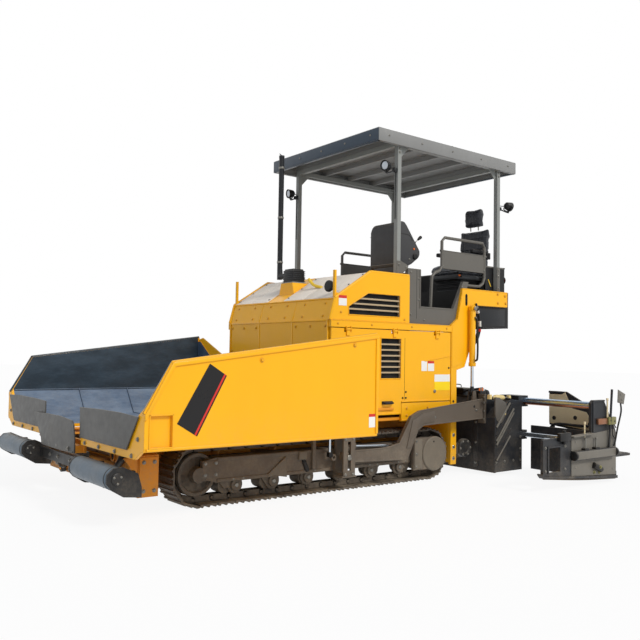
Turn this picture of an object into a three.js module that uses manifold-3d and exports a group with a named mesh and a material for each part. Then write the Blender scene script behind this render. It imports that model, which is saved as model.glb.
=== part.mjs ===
// Crawler asphalt paver with folding hopper wings, a raised operator's station under a canopy
// and an extending screed on two tow arms. Millimetres, +X forward, +Y left, +Z up.
// The model is drawn about the middle of the tracks, and the last lines move it so that the
// origin lies on the ground under the centre of the whole machine's box.

import * as THREE from "three";
import { mergeVertices } from "three/addons/utils/BufferGeometryUtils.js";
import Module from "manifold-3d";

const wasm = await Module();
wasm.setup();

// ---------------------------------------------------------------- driving dimensions

const seat = 0.3; // gap between pieces that touch
const running = 0.3; // radial gap of a pin or tube in its bore
const clear = 6; // gap between pieces that move past each other

const track = {
  outerY: 948,
  shoeWidth: 300,
  radius: 262, // from the wheel centres to the ground
  idlerX: 1325,
  sprocketX: -1345,
  shoe: 28,
  chain: 52,
  straightShoes: 16,
  endShoes: 5,
  jointGap: 10,
};

const frame = {
  outerY: track.outerY - 23,
  innerY: track.outerY - track.shoeWidth + 112,
  bottom: 190,
  top: 400,
  rollerRadius: 70,
  rollers: 6,
  axleX: 560,
  axleWidth: 130,
};

const drive = {
  x: -1375,
  z: 270,
  radius: 175,
  frontX: -1080,
  innerY: track.outerY + clear,
  outerY: track.outerY + 42,
  hub: 110,
};

const chassis = {
  plateY: 600,
  plate: 40,
  rearX: -1700,
  floorTop: 480,
  floor: 84.4,
  tunnelTop: 860,
  tunnelRoof: 40,
  sponsonTop: 650,
  sponson: 30,
  beamFront: 1900,
  beamRear: 1730,
  beamHalf: 1000,
  beamBottom: 150,
  beamTop: 330,
  beamEndTop: 470,
};

const hopper = {
  halfWidth: 1600, // wings open
  rearX: -20,
  frontX: 2140,
  topRearZ: 1448,
  topFrontX: 1930,
  topFrontZ: 1196,
  noseZ: 829,
  hingeY: 400,
  hingeZ: 560,
  hingeRadius: 14,
  floorBottom: 575,
  floor: 30,
  fold: 270, // width of the floor's upturned edge
  foldTop: 70, // and of the wall where that edge ends
  foldTopZ: 860,
  wallTop: 38, // width of the wall's upper edge
  frontPlate: 25,
  plateBottom: 513,
  flap: 12,
  flapTop: 822,
};
hopper.foldY = hopper.halfWidth - hopper.fold;
hopper.foldTopY = hopper.halfWidth - hopper.foldTop;
hopper.wallTopY = hopper.halfWidth - hopper.wallTop;

const conveyor = {
  innerY: 30,
  outerY: chassis.plateY - 70,
  frontX: 1850,
  rearX: -1785,
  top: 505,
  bottom: 370,
  slat: 25,
};

const roller = { x: 2220, z: 370, radius: 85, innerY: 620, outerY: 1330, pin: 16, armPlate: 20 };

const body = {
  halfWidth: 917,
  panel: 30,
  frontX: -35,
  deckZ: 1600, // top of the side doors' rail
  railBottom: 1535,
  slantX: -92,
  slantZ: 1805,
  ridgeX: -540,
  topZ: 2090,
  hoodRearX: -1070,
  doorBottom: 680,
};

const innerY = body.halfWidth - body.panel;
const rearInnerY = innerY - 2 + seat; // the rear frames seat on the rear wall's ends

const door = {
  frontX: -45,
  stepX: -965, // behind this the door ends above the tow arm, over a fixed skirt
  stepZ: 800,
  hingeXs: [-250, -865, -1480],
  hingeZ: 1518,
  knuckle: 44,
  pin: 6,
  ear: 8,
};

const rearFrame = {
  armRearX: -2645,
  armTop: 2020,
  armBottom: 1845,
  postFront: -1703,
  postRear: -1790,
  postBottom: 120,
};

const gearCase = { halfWidth: 50, halfLength: 55, bottom: 225, top: 720 };

const auger = {
  x: -1925,
  z: 285,
  radius: 122,
  shaft: 32,
  innerY: gearCase.halfWidth + running,
  outerY: rearInnerY - 5.3,
  turns: 3.5,
  flight: 14,
};

const platform = {
  floor: 36,
  sideY: innerY - 3,
  framePlate: 38,
  sillTop: 1780,
  columnTop: 2098,
  railTop: 2130,
};

const cabinet = {
  frontX: -2020,
  rearX: -2700,
  top: 2020,
  wall: 25,
  guardTop: 2310,
  guardFrontX: -2362,
  guardY: innerY - 57,
  guard: 22,
};

const rail = {
  y: innerY - 42,
  radius: 17,
  topZ: 2560,
  frontX: -1620,
  rearX: -2320,
  footX: -1450,
  plateBottom: 2222,
  plateTop: 2420,
};

const canopy = {
  frontX: -610,
  rearX: -2775,
  halfWidth: body.halfWidth + 6,
  bottom: 3425,
  depth: 127,
  skin: 18,
  rim: 25,
  postFrontX: -940,
  postRearX: -2520,
  post: 50,
  postY: innerY - 27,
  ring: 50,
};
canopy.top = canopy.bottom + canopy.depth;

const console_ = { frontX: -1078, centreY: innerY - 387, width: 430, bottom: platform.railTop + running };

const chair = { centreY: innerY - 367, width: 460, frontX: -1980, cushionBottom: 2200, cushionTop: 2320 };

const tow = {
  pivotX: -140,
  pivotZ: 325,
  innerY: drive.outerY + 20,
  outerY: drive.outerY + 70,
  pin: 18,
  rearX: -2060,
  flange: 25,
};

const screed = {
  frontX: tow.rearX - tow.flange - seat,
  rearX: -2550,
  halfWidth: tow.outerY + 140,
  bottom: 40,
  kneeZ: 620,
  top: 815,
  crestX: -2350,
  wall: 30,
  endPlate: 35,
};

const extension = {
  travel: 850,
  outerY: 2100,
  frontX: -2680,
  rearX: -2990,
  top: 520,
  gateFrontX: -1680,
  gateRearX: -2930,
  gatePlate: 30,
  tubeX: -2605,
  tubeZ: 790,
  tube: 38,
  lowerTubeZ: 420,
  lowerTube: 28,
  tubeInnerY: screed.halfWidth - 300,
  walkwayRearX: -3260,
  walkwayZ: 270,
};

const lift = {
  x: -1990,
  z: 1800,
  y: body.halfWidth + 45,
  barrel: 34,
  rod: 18,
  pin: 14,
  eyeZ: 880,
  mouthZ: 1170,
  insertion: 250,
};

const wingCylinder = {
  x: 1950,
  y: 500,
  z: 190,
  barrel: 28,
  rod: 14,
  pin: 12,
  eyeY: 900,
  eyeZ: 500,
  barrelLength: 430,
  engaged: 370,
};

const stack = {
  x: -330,
  y: -90,
  sizeX: 160,
  sizeY: 180,
  bottom: 2025,
  top: 2165,
  pipeX: -300,
  pipeY: -315,
  pipe: 30,
  pipeTop: canopy.bottom + 25,
};

// ---------------------------------------------------------------- shape helpers

// A closed BufferGeometry as a solid that can be joined and cut.
function solid(geometry) {
  const bare = geometry.index ? geometry.toNonIndexed() : geometry.clone();
  for (const name of Object.keys(bare.attributes)) {
    if (name !== "position") bare.deleteAttribute(name);
  }
  const merged = mergeVertices(bare, 1e-3);
  return new wasm.Manifold(
    new wasm.Mesh({
      numProp: 3,
      vertProperties: merged.attributes.position.array,
      triVerts: new Uint32Array(merged.index.array),
    }),
  );
}

// A solid as a BufferGeometry again.
function geometryOf(shape) {
  const mesh = shape.getMesh();
  const geometry = new THREE.BufferGeometry();
  geometry.setAttribute("position", new THREE.BufferAttribute(new Float32Array(mesh.vertProperties), 3));
  geometry.setIndex(new THREE.BufferAttribute(new Uint32Array(mesh.triVerts), 1));
  geometry.computeVertexNormals();
  return geometry;
}

const join = (...shapes) => shapes.flat().reduce((all, next) => all.add(next));
const cut = (shape, ...tools) => tools.flat().reduce((left, tool) => left.subtract(tool), shape);

function box([x0, x1], [y0, y1], [z0, z1]) {
  const geometry = new THREE.BoxGeometry(Math.abs(x1 - x0), Math.abs(y1 - y0), Math.abs(z1 - z0));
  geometry.translate((x0 + x1) / 2, (y0 + y1) / 2, (z0 + z1) / 2);
  return solid(geometry);
}

function outline(points) {
  const shape = new THREE.Shape(points.map(([u, v]) => new THREE.Vector2(u, v)));
  return shape;
}

function extruded(shape, depth) {
  return new THREE.ExtrudeGeometry(shape, { depth, bevelEnabled: false, curveSegments: 10 });
}

// A plate drawn in X and Z, between two values of Y.
function sidePlate(points, [y0, y1]) {
  const geometry = extruded(outline(points.map(([x, z]) => [x, z])), y1 - y0);
  geometry.rotateX(Math.PI / 2);
  geometry.translate(0, y1, 0);
  return solid(geometry);
}

// A plate drawn in Y and Z, between two values of X.
function crossPlate(points, [x0, x1]) {
  const geometry = extruded(outline(points), x1 - x0);
  const turn = new THREE.Matrix4().makeBasis(
    new THREE.Vector3(0, 1, 0),
    new THREE.Vector3(0, 0, 1),
    new THREE.Vector3(1, 0, 0),
  );
  geometry.applyMatrix4(turn);
  geometry.translate(x0, 0, 0);
  return solid(geometry);
}

// A round bar between two points.
function bar(from, to, radius, sides = 16) {
  const a = new THREE.Vector3(...from);
  const b = new THREE.Vector3(...to);
  const along = b.clone().sub(a);
  const geometry = new THREE.CylinderGeometry(radius, radius, along.length(), sides);
  const up = new THREE.Vector3(0, 1, 0);
  const turn = new THREE.Quaternion().setFromUnitVectors(up, along.clone().normalize());
  geometry.applyQuaternion(turn);
  geometry.translate(...a.add(b).multiplyScalar(0.5).toArray());
  return solid(geometry);
}

// The tool that cuts a bore: its flats stay one running gap outside the pin's corners.
function bore(from, to, radius, sides = 16) {
  return bar(from, to, (radius + running) / Math.cos(Math.PI / sides), sides);
}

// A round bar bent along a smooth path.
function bentBar(points, radius, steps, sides = 8) {
  const ring = [...Array(sides).keys()].map((i) => {
    const angle = (2 * Math.PI * i) / sides;
    return new THREE.Vector2(radius * Math.cos(angle), radius * Math.sin(angle));
  });
  const path = new THREE.CurvePath();
  const corners = points.map((p) => new THREE.Vector3(...p));
  const bend = 2.5 * radius;
  let start = corners[0];
  for (let i = 1; i < corners.length - 1; i += 1) {
    const before = corners[i].clone().sub(corners[i - 1]).setLength(bend);
    const after = corners[i + 1].clone().sub(corners[i]).setLength(bend);
    const enter = corners[i].clone().sub(before);
    const leave = corners[i].clone().add(after);
    path.add(new THREE.LineCurve3(start, enter));
    path.add(new THREE.QuadraticBezierCurve3(enter, corners[i], leave));
    start = leave;
  }
  path.add(new THREE.LineCurve3(start, corners[corners.length - 1]));
  return solid(
    new THREE.ExtrudeGeometry(new THREE.Shape(ring), { extrudePath: path, steps, bevelEnabled: false }),
  );
}

// ---------------------------------------------------------------- materials

const paint = (color, roughness = 0.45, metalness = 0.0) =>
  new THREE.MeshStandardMaterial({ color, roughness, metalness });
const yellow = paint(0xf7b81f);
const orange = paint(0xcf8424);
const darkGrey = paint(0x4a4a48, 0.5);
const greyBrown = paint(0x69625a, 0.5);
const steel = paint(0x55504a, 0.6, 0.6);
const black = paint(0x24262a, 0.5);
const chrome = paint(0xb9c4cc, 0.15, 1.0);
const vinyl = paint(0x1f2326, 0.6);

// ---------------------------------------------------------------- the group of named pieces

const machine = new THREE.Group();

function add(name, shape, material) {
  const mesh = new THREE.Mesh(geometryOf(shape), material);
  mesh.name = name;
  machine.add(mesh);
  return mesh;
}

// A piece on the left and its mirror image on the right.
function addPair(name, shape, material) {
  add(`${name}_left`, shape, material);
  add(`${name}_right`, shape, material).scale.set(1, -1, 1);
}

// ---------------------------------------------------------------- tracks and their frames

const trackInnerRadius = track.radius - track.shoe - track.chain;
const trackInnerY = track.outerY - track.shoeWidth;

// One point on the loop at a distance s along it, offset outwards from the wheel-centre line.
function loopPoint(s, offset) {
  const straight = track.idlerX - track.sprocketX;
  const arc = Math.PI * track.radius;
  const total = 2 * straight + 2 * arc;
  const t = ((s % total) + total) % total;
  if (t < straight) return [track.sprocketX + t, track.radius - offset];
  if (t < straight + arc) {
    const angle = (t - straight) / track.radius - Math.PI / 2;
    return [track.idlerX + offset * Math.cos(angle), track.radius + offset * Math.sin(angle)];
  }
  if (t < 2 * straight + arc) return [track.idlerX - (t - straight - arc), track.radius + offset];
  const angle = (t - 2 * straight - arc) / track.radius + Math.PI / 2;
  return [track.sprocketX + offset * Math.cos(angle), track.radius + offset * Math.sin(angle)];
}

function shoeOutline() {
  const straight = track.idlerX - track.sprocketX;
  const arc = Math.PI * track.radius;
  const points = [];
  const runs = [
    [0, straight, track.straightShoes],
    [straight, arc, track.endShoes],
    [straight + arc, straight, track.straightShoes],
    [2 * straight + arc, arc, track.endShoes],
  ];
  const half = track.jointGap / 2;
  for (const [from, length, count] of runs) {
    const pitch = length / count;
    for (let i = 0; i < count; i += 1) {
      const start = from + i * pitch;
      points.push(loopPoint(start + half, track.radius - track.shoe));
      points.push(loopPoint(start + half, track.radius));
      points.push(loopPoint(start + pitch - half, track.radius));
      points.push(loopPoint(start + pitch - half, track.radius - track.shoe));
    }
  }
  return points;
}

function stadium(x0, x1, z, radius, steps) {
  const points = [];
  for (let i = 0; i <= steps; i += 1) {
    const angle = -Math.PI / 2 + (Math.PI * i) / steps;
    points.push([x1 + radius * Math.cos(angle), z + radius * Math.sin(angle)]);
  }
  for (let i = 0; i <= steps; i += 1) {
    const angle = Math.PI / 2 + (Math.PI * i) / steps;
    points.push([x0 + radius * Math.cos(angle), z + radius * Math.sin(angle)]);
  }
  return points;
}

const trackLoop = cut(
  sidePlate(shoeOutline(), [trackInnerY, track.outerY]),
  sidePlate(stadium(track.sprocketX, track.idlerX, track.radius, trackInnerRadius, 14), [
    trackInnerY - 10,
    track.outerY + 10,
  ]),
);
addPair("track", trackLoop, steel);

function trackFrame() {
  const wheelRadius = trackInnerRadius - 2;
  const wheelY = [trackInnerY + 70, track.outerY - 90];
  const middle = (wheelY[0] + wheelY[1]) / 2;
  const beam = sidePlate(
    [
      [track.sprocketX + 120, frame.bottom],
      [track.idlerX - 160, frame.bottom],
      [track.idlerX - 60, frame.bottom + 30],
      [track.idlerX - 60, frame.top - 20],
      [track.idlerX - 160, frame.top],
      [track.sprocketX + 120, frame.top],
    ],
    [frame.innerY, frame.outerY],
  );
  const pieces = [beam];
  for (const x of [track.idlerX, track.sprocketX]) {
    pieces.push(bar([x, wheelY[0], track.radius], [x, wheelY[1], track.radius], wheelRadius, 28));
    pieces.push(bar([x, middle, track.radius], [x, frame.outerY - 4, track.radius], 60, 16));
  }
  // The idler's sliding yoke and the sprocket's hub reach out from the beam.
  const yokeY = [frame.innerY, frame.outerY - 6];
  const yokeZ = [track.radius - 52, track.radius + 52];
  pieces.push(box([track.idlerX - 200, track.idlerX + 30], yokeY, yokeZ));
  pieces.push(box([track.sprocketX - 30, track.sprocketX + 200], yokeY, yokeZ));
  const span = track.idlerX - track.sprocketX - 2 * wheelRadius - 2 * frame.rollerRadius - 60;
  const rollerZ = track.shoe + track.chain + frame.rollerRadius + seat;
  for (let i = 0; i < frame.rollers; i += 1) {
    const x = (track.idlerX + track.sprocketX) / 2 - span / 2 + (span * i) / (frame.rollers - 1);
    pieces.push(bar([x, wheelY[0], rollerZ], [x, wheelY[1], rollerZ], frame.rollerRadius, 16));
    pieces.push(
      sidePlate(
        [
          [x - 70, frame.bottom + 5],
          [x - 22, rollerZ - 22],
          [x + 22, rollerZ - 22],
          [x + 70, frame.bottom + 5],
        ],
        [wheelY[1] - 10, wheelY[1] + 25],
      ),
    );
  }
  for (const x of [-frame.axleX, frame.axleX]) {
    pieces.push(
      box(
        [x - frame.axleWidth / 2, x + frame.axleWidth / 2],
        [chassis.plateY + seat, frame.innerY + 5],
        [frame.top - 90, frame.top - 5],
      ),
    );
  }
  // The final drive's cover stands outside the track on its hub.
  const hubY = [frame.outerY - 10, drive.innerY + 5];
  const cover = join(
    bar([drive.x, drive.innerY, drive.z], [drive.x, drive.outerY, drive.z], drive.radius, 32),
    box(
      [drive.x, drive.frontX],
      [drive.innerY, drive.outerY],
      [drive.z - drive.radius + 22, drive.z + drive.radius - 6],
    ),
    bar([track.sprocketX, hubY[0], drive.z], [track.sprocketX, hubY[1], drive.z], drive.hub, 24),
    box([track.sprocketX, drive.frontX - 20], hubY, [drive.z - 80, drive.z + 80]),
  );
  pieces.push(cover);
  return join(pieces);
}

// The upright guide that holds the tow arm's trunnion between slotted bars.
function towGuide() {
  const width = 70;
  const slot = tow.pin + running;
  const z = [155, 512];
  const plateY = [drive.innerY, drive.innerY + 18];
  const x = [tow.pivotX - width, tow.pivotX + width];
  const barY = [tow.outerY + 14, tow.outerY + 34];
  const face = cut(
    box(x, barY, z),
    box([tow.pivotX - slot, tow.pivotX + slot], [barY[0] - 5, barY[1] + 5], [z[0] + 50, z[1] - 40]),
  );
  const back = join(
    box(x, plateY, z),
    box(x, [frame.outerY - 5, plateY[0] + 5], [frame.bottom + 10, frame.top - 10]),
  );
  const caps = [
    box(x, [plateY[0], barY[1]], [z[1] - 25, z[1]]),
    box(x, [plateY[0], barY[1]], [z[0], z[0] + 25]),
  ];
  return join(back, face, caps);
}

addPair("track_frame", join(trackFrame(), towGuide()), greyBrown);

// ---------------------------------------------------------------- chassis, conveyors, engine

function chassisSolid() {
  const c = chassis;
  const cyl = wingCylinder;
  const bulkheadX = body.frontX - body.panel - seat;
  const caseY = [-gearCase.halfWidth, gearCase.halfWidth];
  const side = sidePlate(
    [
      [c.beamFront, 515],
      [c.beamFront, c.beamBottom],
      [1530, c.beamBottom - 20],
      [1250, 360],
      [c.rearX, 330],
      [c.rearX, c.tunnelTop],
      [bulkheadX, c.tunnelTop],
      [bulkheadX, 515],
    ],
    [c.plateY - c.plate, c.plateY],
  );
  const left = [
    side,
    // Strip beside the conveyor that carries the wing's hinge.
    box([bulkheadX, hopper.frontX - 40], [hopper.hingeY - 40, hopper.hingeY + 40], [512, 528]),
    box([bulkheadX, c.beamFront], [hopper.hingeY - 40, c.plateY], [512, 528]),
    box([bulkheadX, c.rearX], [c.plateY - 5, innerY - seat], [c.sponsonTop - c.sponson, c.sponsonTop]),
    box([c.beamRear, c.beamFront], [c.plateY - 5, c.beamHalf], [c.beamBottom, c.beamEndTop]),
    // Boss and pin that the wing cylinder turns on.
    bar([c.beamFront - 5, cyl.y, cyl.z], [cyl.x - cyl.barrel - clear, cyl.y, cyl.z], 30, 16),
    bar([c.beamFront - 5, cyl.y, cyl.z], [cyl.x + cyl.barrel + clear, cyl.y, cyl.z], cyl.pin, 12),
  ];
  for (const x of hingeBracketXs()) {
    left.push(box([x - 25, x + 25], [hopper.hingeY - 18, hopper.hingeY + 8], [520, hopper.hingeZ]));
  }
  left.push(
    bar(
      [hopper.rearX + 10, hopper.hingeY, hopper.hingeZ],
      [hopper.frontX - 60, hopper.hingeY, hopper.hingeZ],
      hopper.hingeRadius,
      12,
    ),
  );
  const leftSide = join(left);
  const rightSide = leftSide.mirror([0, 1, 0]);
  const middle = [
    box([c.rearX, 1780], [-c.plateY + 5, c.plateY - 5], [c.floorTop - c.floor - seat, c.floorTop - seat]),
    box([c.rearX, bulkheadX], [-c.plateY + 5, c.plateY - 5], [c.tunnelTop - c.tunnelRoof, c.tunnelTop]),
    box([c.beamRear, c.beamFront], [-c.plateY, c.plateY], [c.beamBottom, c.beamTop]),
    // Front lip that the centre flap is bolted to.
    box([hopper.frontX - 45, hopper.frontX + 25], [-hopper.hingeY + 20, hopper.hingeY - 20], [440, 500]),
    box([hopper.frontX - 60, hopper.frontX - 40], [-hopper.hingeY, hopper.hingeY], [440, 540]),
    // Bracket and pin of the push-roller beam.
    box([c.beamFront - 5, rollerPivotX + 45], [-70, 70], [250, 320]),
    bar([rollerPivotX, 0, 260], [rollerPivotX, 0, 435], rollerPivotPin, 16),
    // Rear wall above the conveyor's mouth.
    box([c.rearX - 34, c.rearX + 2], [-innerY + 2, innerY - 2], [
      c.tunnelTop - c.tunnelRoof,
      body.railBottom - seat,
    ]),
    // Gear case between the two augers, hung from the rear wall.
    box([c.rearX - 2, auger.x - 30], caseY, [gearCase.top - 100, gearCase.top]),
    box([auger.x - gearCase.halfLength, auger.x + gearCase.halfLength], caseY, [
      gearCase.bottom,
      gearCase.top,
    ]),
    box([c.rearX - 34, c.rearX], caseY, [gearCase.top - 100, c.tunnelTop]),
  ];
  return join(leftSide, rightSide, middle);
}

const rollerPivotX = 1965;
const rollerPivotPin = 20;

// Places along the hopper where the wing's hinge is held, and between them its lugs.
function hingeBracketXs() {
  return [120, 720, 1320, 1920];
}

add("chassis", chassisSolid(), orange);

const slatRadius = (conveyor.top - conveyor.bottom) / 2;
const slatZ = (conveyor.top + conveyor.bottom) / 2;
const conveyorLoop = cut(
  sidePlate(stadium(conveyor.rearX + slatRadius, conveyor.frontX - slatRadius, slatZ, slatRadius, 8), [
    conveyor.innerY,
    conveyor.outerY,
  ]),
  sidePlate(
    stadium(
      conveyor.rearX + slatRadius,
      conveyor.frontX - slatRadius,
      slatZ,
      slatRadius - conveyor.slat,
      8,
    ),
    [conveyor.innerY - 10, conveyor.outerY + 10],
  ),
);
addPair("conveyor", conveyorLoop, steel);

add(
  "engine",
  box([body.frontX - 130, body.hoodRearX + 80], [-420, 420], [chassis.tunnelTop + seat, 1720]),
  darkGrey,
);

// ---------------------------------------------------------------- bulkhead and hood

const bulkhead = cut(
  sidePlate(
    [
      [body.frontX, hopper.hingeZ],
      [body.frontX, body.deckZ],
      [body.slantX, body.slantZ],
      [body.slantX - body.panel, body.slantZ - 6],
      [body.frontX - body.panel, body.deckZ],
      [body.frontX - body.panel, hopper.hingeZ],
    ],
    [-innerY + seat, innerY - seat],
  ),
  box([body.frontX - 60, body.frontX + 10], [-chassis.plateY - 2, chassis.plateY + 2], [
    500,
    chassis.tunnelTop + seat,
  ]),
  // Room for the side doors' upper edges to turn.
  [-1, 1].map((side) =>
    box([body.frontX - 60, body.frontX + 10], [side * (innerY - clear - 1), side * innerY], [
      500,
      body.railBottom,
    ]),
  ),
);
add("front_bulkhead", bulkhead, yellow);

// Height of the hood's sloping front at a distance along the machine.
const slopeAt = (x) =>
  body.slantZ + 5 + ((body.topZ - body.slantZ - 5) * (body.slantX - x)) / (body.slantX - body.ridgeX);

// A rectangular opening with slats across it, as a cutter and the slats that cross it.
function louvre(points, slats, y) {
  const tool = sidePlate(points, [y[0] - 5, y[1] + 5]);
  const xs = points.map(([x]) => x);
  const zs = points.map(([, z]) => z);
  const low = Math.min(...zs);
  const high = Math.max(...zs);
  const pitch = (high - low) / slats;
  const blades = [...Array(slats - 1).keys()].map((i) => {
    const z = low + pitch * (i + 1);
    return sidePlate(
      [
        [Math.min(...xs) - 10, z - 8],
        [Math.max(...xs) + 10, z - 8],
        [Math.max(...xs) + 10, z + 8],
        [Math.min(...xs) - 10, z + 8],
      ],
      [y[0] + 3, y[1] - 6],
    );
  });
  return { tool, blades: join(blades).intersect(sidePlate(grown(points, 8), y)) };
}

function grown(points, by) {
  const cx = points.reduce((sum, [x]) => sum + x, 0) / points.length;
  const cz = points.reduce((sum, [, z]) => sum + z, 0) / points.length;
  return points.map(([x, z]) => [x + Math.sign(x - cx) * by, z + Math.sign(z - cz) * by]);
}

function hoodSolid() {
  const y = [innerY, body.halfWidth];
  const vent = louvre(
    [
      [-930, 1664],
      [-260, 1664],
      [-260, 1737],
      [-505, 1876],
      [-930, 1876],
    ],
    4,
    y,
  );
  const sidePanel = cut(
    sidePlate(
      [
        [body.frontX, body.deckZ - 5],
        [body.slantX, body.slantZ + 5],
        [body.ridgeX, body.topZ],
        [body.hoodRearX, body.topZ],
        [body.hoodRearX, body.deckZ - 5],
      ],
      y,
    ),
    vent.tool,
  );
  const railZ = [body.railBottom, body.deckZ];
  const railRear = rearFrame.postFront + seat;
  const rail = join(
    box([railRear, body.frontX - body.panel - seat], [innerY - 70, body.halfWidth], railZ),
    box([railRear, body.frontX], [innerY, body.halfWidth + 8], railZ),
  );
  const hinges = door.hingeXs.map((x) => doorHingeSeat(x));
  const lug = join(
    box([body.slantX - 28, body.slantX - 6], [innerY - 22, innerY + 6], [body.slantZ + 2, 2080]),
    box([body.slantX - 50, body.slantX - 6], [innerY - 22, innerY + 6], [body.slantZ + 2, body.slantZ + 60]),
  );
  const left = join(sidePanel, vent.blades, rail, hinges, lug);
  const right = left.mirror([0, 1, 0]);
  const skin = 25;
  const roof = sidePlate(
    [
      [body.slantX, body.slantZ + 5],
      [body.ridgeX, body.topZ],
      [body.hoodRearX, body.topZ],
      [body.hoodRearX, body.deckZ],
      [body.hoodRearX + skin, body.deckZ],
      [body.hoodRearX + skin, body.topZ - skin],
      [body.ridgeX - 6, body.topZ - skin],
      [body.slantX - skin, body.slantZ + 5],
    ],
    [-innerY - 2, innerY + 2],
  );
  const base = crossPlate(
    [
      [stack.y - stack.sizeY / 2 - 45, slopeAt(stack.x) - 60],
      [stack.y + stack.sizeY / 2 + 45, slopeAt(stack.x) - 60],
      [stack.y + stack.sizeY / 2 + 10, stack.bottom - seat],
      [stack.y - stack.sizeY / 2 - 10, stack.bottom - seat],
    ],
    [stack.x - stack.sizeX / 2 - 15, stack.x + stack.sizeX / 2 + 15],
  );
  return join(left, right, roof, base);
}

// Two ears and a pin that a door's knuckle turns on.
function doorHingeSeat(x) {
  const half = door.knuckle / 2 + clear / 2;
  const y = body.halfWidth + 8;
  const ears = [-1, 1].map((side) =>
    box(
      [x + side * half, x + side * (half + door.ear)],
      [body.halfWidth - 10, y + 12],
      [door.hingeZ - 12, body.railBottom + 10],
    ),
  );
  const pin = bar([x - half - 2, y, door.hingeZ], [x + half + 2, y, door.hingeZ], door.pin, 12);
  return join(ears, pin);
}

add("hood", hoodSolid(), yellow);

// ---------------------------------------------------------------- side doors

function doorSolid() {
  const y = [innerY, body.halfWidth - 1];
  const vent = louvre(
    [
      [-953, 1045],
      [-684, 1045],
      [-684, 1440],
      [-953, 1440],
    ],
    7,
    y,
  );
  const rearX = chassis.rearX + 2 + clear;
  const top = body.railBottom - clear;
  const sheet = sidePlate(
    [
      [rearX, door.stepZ],
      [door.stepX, door.stepZ],
      [door.stepX, body.doorBottom],
      [door.frontX, body.doorBottom],
      [door.frontX, top],
      [rearX, top],
    ],
    y,
  );
  const panel = cut(
    sheet,
    vent.tool,
    door.hingeXs.map((x) =>
      box([x - door.knuckle, x + door.knuckle], [y[0] - 5, y[1] + 5], [
        door.hingeZ - 26,
        body.railBottom,
      ]),
    ),
  );
  const hingeY = body.halfWidth + 8;
  const knuckles = door.hingeXs.map((x) => {
    const half = door.knuckle / 2;
    const eye = bar([x - half, hingeY, door.hingeZ], [x + half, hingeY, door.hingeZ], 12, 12);
    const leaf = box([x - half, x + half], [body.halfWidth - 14, hingeY + 3], [
      door.hingeZ - 60,
      door.hingeZ,
    ]);
    return cut(
      join(eye, leaf),
      bore([x - half - 5, hingeY, door.hingeZ], [x + half + 5, hingeY, door.hingeZ], door.pin, 12),
    );
  });
  return join(panel, vent.blades, knuckles);
}

addPair("side_door", doorSolid(), yellow);

// The fixed skirt is bolted to the edge of the chassis over the track.
addPair(
  "side_skirt",
  box(
    [chassis.rearX + 5, door.stepX - clear],
    [innerY, body.halfWidth - 1],
    [chassis.sponsonTop - chassis.sponson - 10, door.stepZ - clear],
  ),
  yellow,
);

// ---------------------------------------------------------------- rear frames and screed auger seats

function rearFrameSolid() {
  const r = rearFrame;
  const y = [rearInnerY, body.halfWidth];
  const plate = sidePlate(
    [
      [r.postFront, r.postBottom],
      [r.postFront, body.deckZ + 10],
      [-1800, 1680],
      [-1878, r.armTop],
      [r.armRearX, r.armTop],
      [r.armRearX, r.armBottom],
      [-2115, r.armBottom - 4],
      [-2075, 1800],
      [-2035, 1457],
      [-1905, 1160],
      [r.postRear, 1130],
      [r.postRear, r.postBottom],
    ],
    y,
  );
  const web = box(
    [chassis.rearX - seat - 30, chassis.rearX - seat],
    [chassis.plateY - chassis.plate + 4, innerY + 5],
    [r.postBottom + 20, chassis.sponsonTop - 40],
  );
  const bearing = join(
    bar([auger.x, y[0], auger.z], [auger.x, y[1], auger.z], 100, 24),
    box([auger.x, r.postFront - 40], y, [auger.z - 55, auger.z + 55]),
  );
  const seatBore = bore([auger.x, y[0] - 5, auger.z], [auger.x, y[1] - 8, auger.z], auger.shaft - 8);
  const liftPin = bar([lift.x, y[1] - 5, lift.z], [lift.x, lift.y + lift.barrel + 10, lift.z], lift.pin, 12);
  return join(cut(join(plate, bearing), seatBore), web, liftPin);
}

addPair("rear_frame", rearFrameSolid(), yellow);

// ---------------------------------------------------------------- operator's platform

function platformSolid() {
  const p = platform;
  const floorZ = [body.deckZ + seat, body.deckZ + p.floor];
  const frameY = [p.sideY - p.framePlate, p.sideY];
  const front = body.hoodRearX - seat;
  const stepFrame = sidePlate(
    [
      [front, floorZ[0]],
      [front, 2178],
      [-1262, 2178],
      [-1262, p.sillTop],
      [-1762, p.sillTop],
      [-1925, p.columnTop],
      [-2012, p.columnTop],
      [-1862, 1668],
      [-1862, floorZ[0]],
    ],
    frameY,
  );
  const foot = p.sillTop - 4;
  const handrail = join(
    bentBar(
      [
        [rail.footX, rail.y, foot],
        [rail.footX - 18, rail.y, 2150],
        [rail.frontX, rail.y, 2205],
        [rail.frontX, rail.y, rail.topZ],
        [rail.rearX, rail.y, rail.topZ],
        [rail.rearX, rail.y, 2125],
        [rail.rearX + 70, rail.y, 2062],
        [-1960, rail.y, 2062],
      ],
      rail.radius,
      34,
    ),
    box([rail.rearX, rail.frontX], [rail.y - 6, rail.y + 8], [rail.plateBottom, rail.plateTop]),
  );
  const left = join(stepFrame, handrail);
  const middle = [
    box([front, cabinet.frontX + seat], [-p.sideY, p.sideY], floorZ),
    box([front, front - 22], [-p.sideY + 10, p.sideY - 10], [floorZ[0], 2100]),
    box([front, front - 75], [-p.sideY + 40, p.sideY - 40], [2100, p.railTop]),
  ];
  return join(left, left.mirror([0, 1, 0]), middle);
}

add("operator_platform", platformSolid(), greyBrown);

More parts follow.
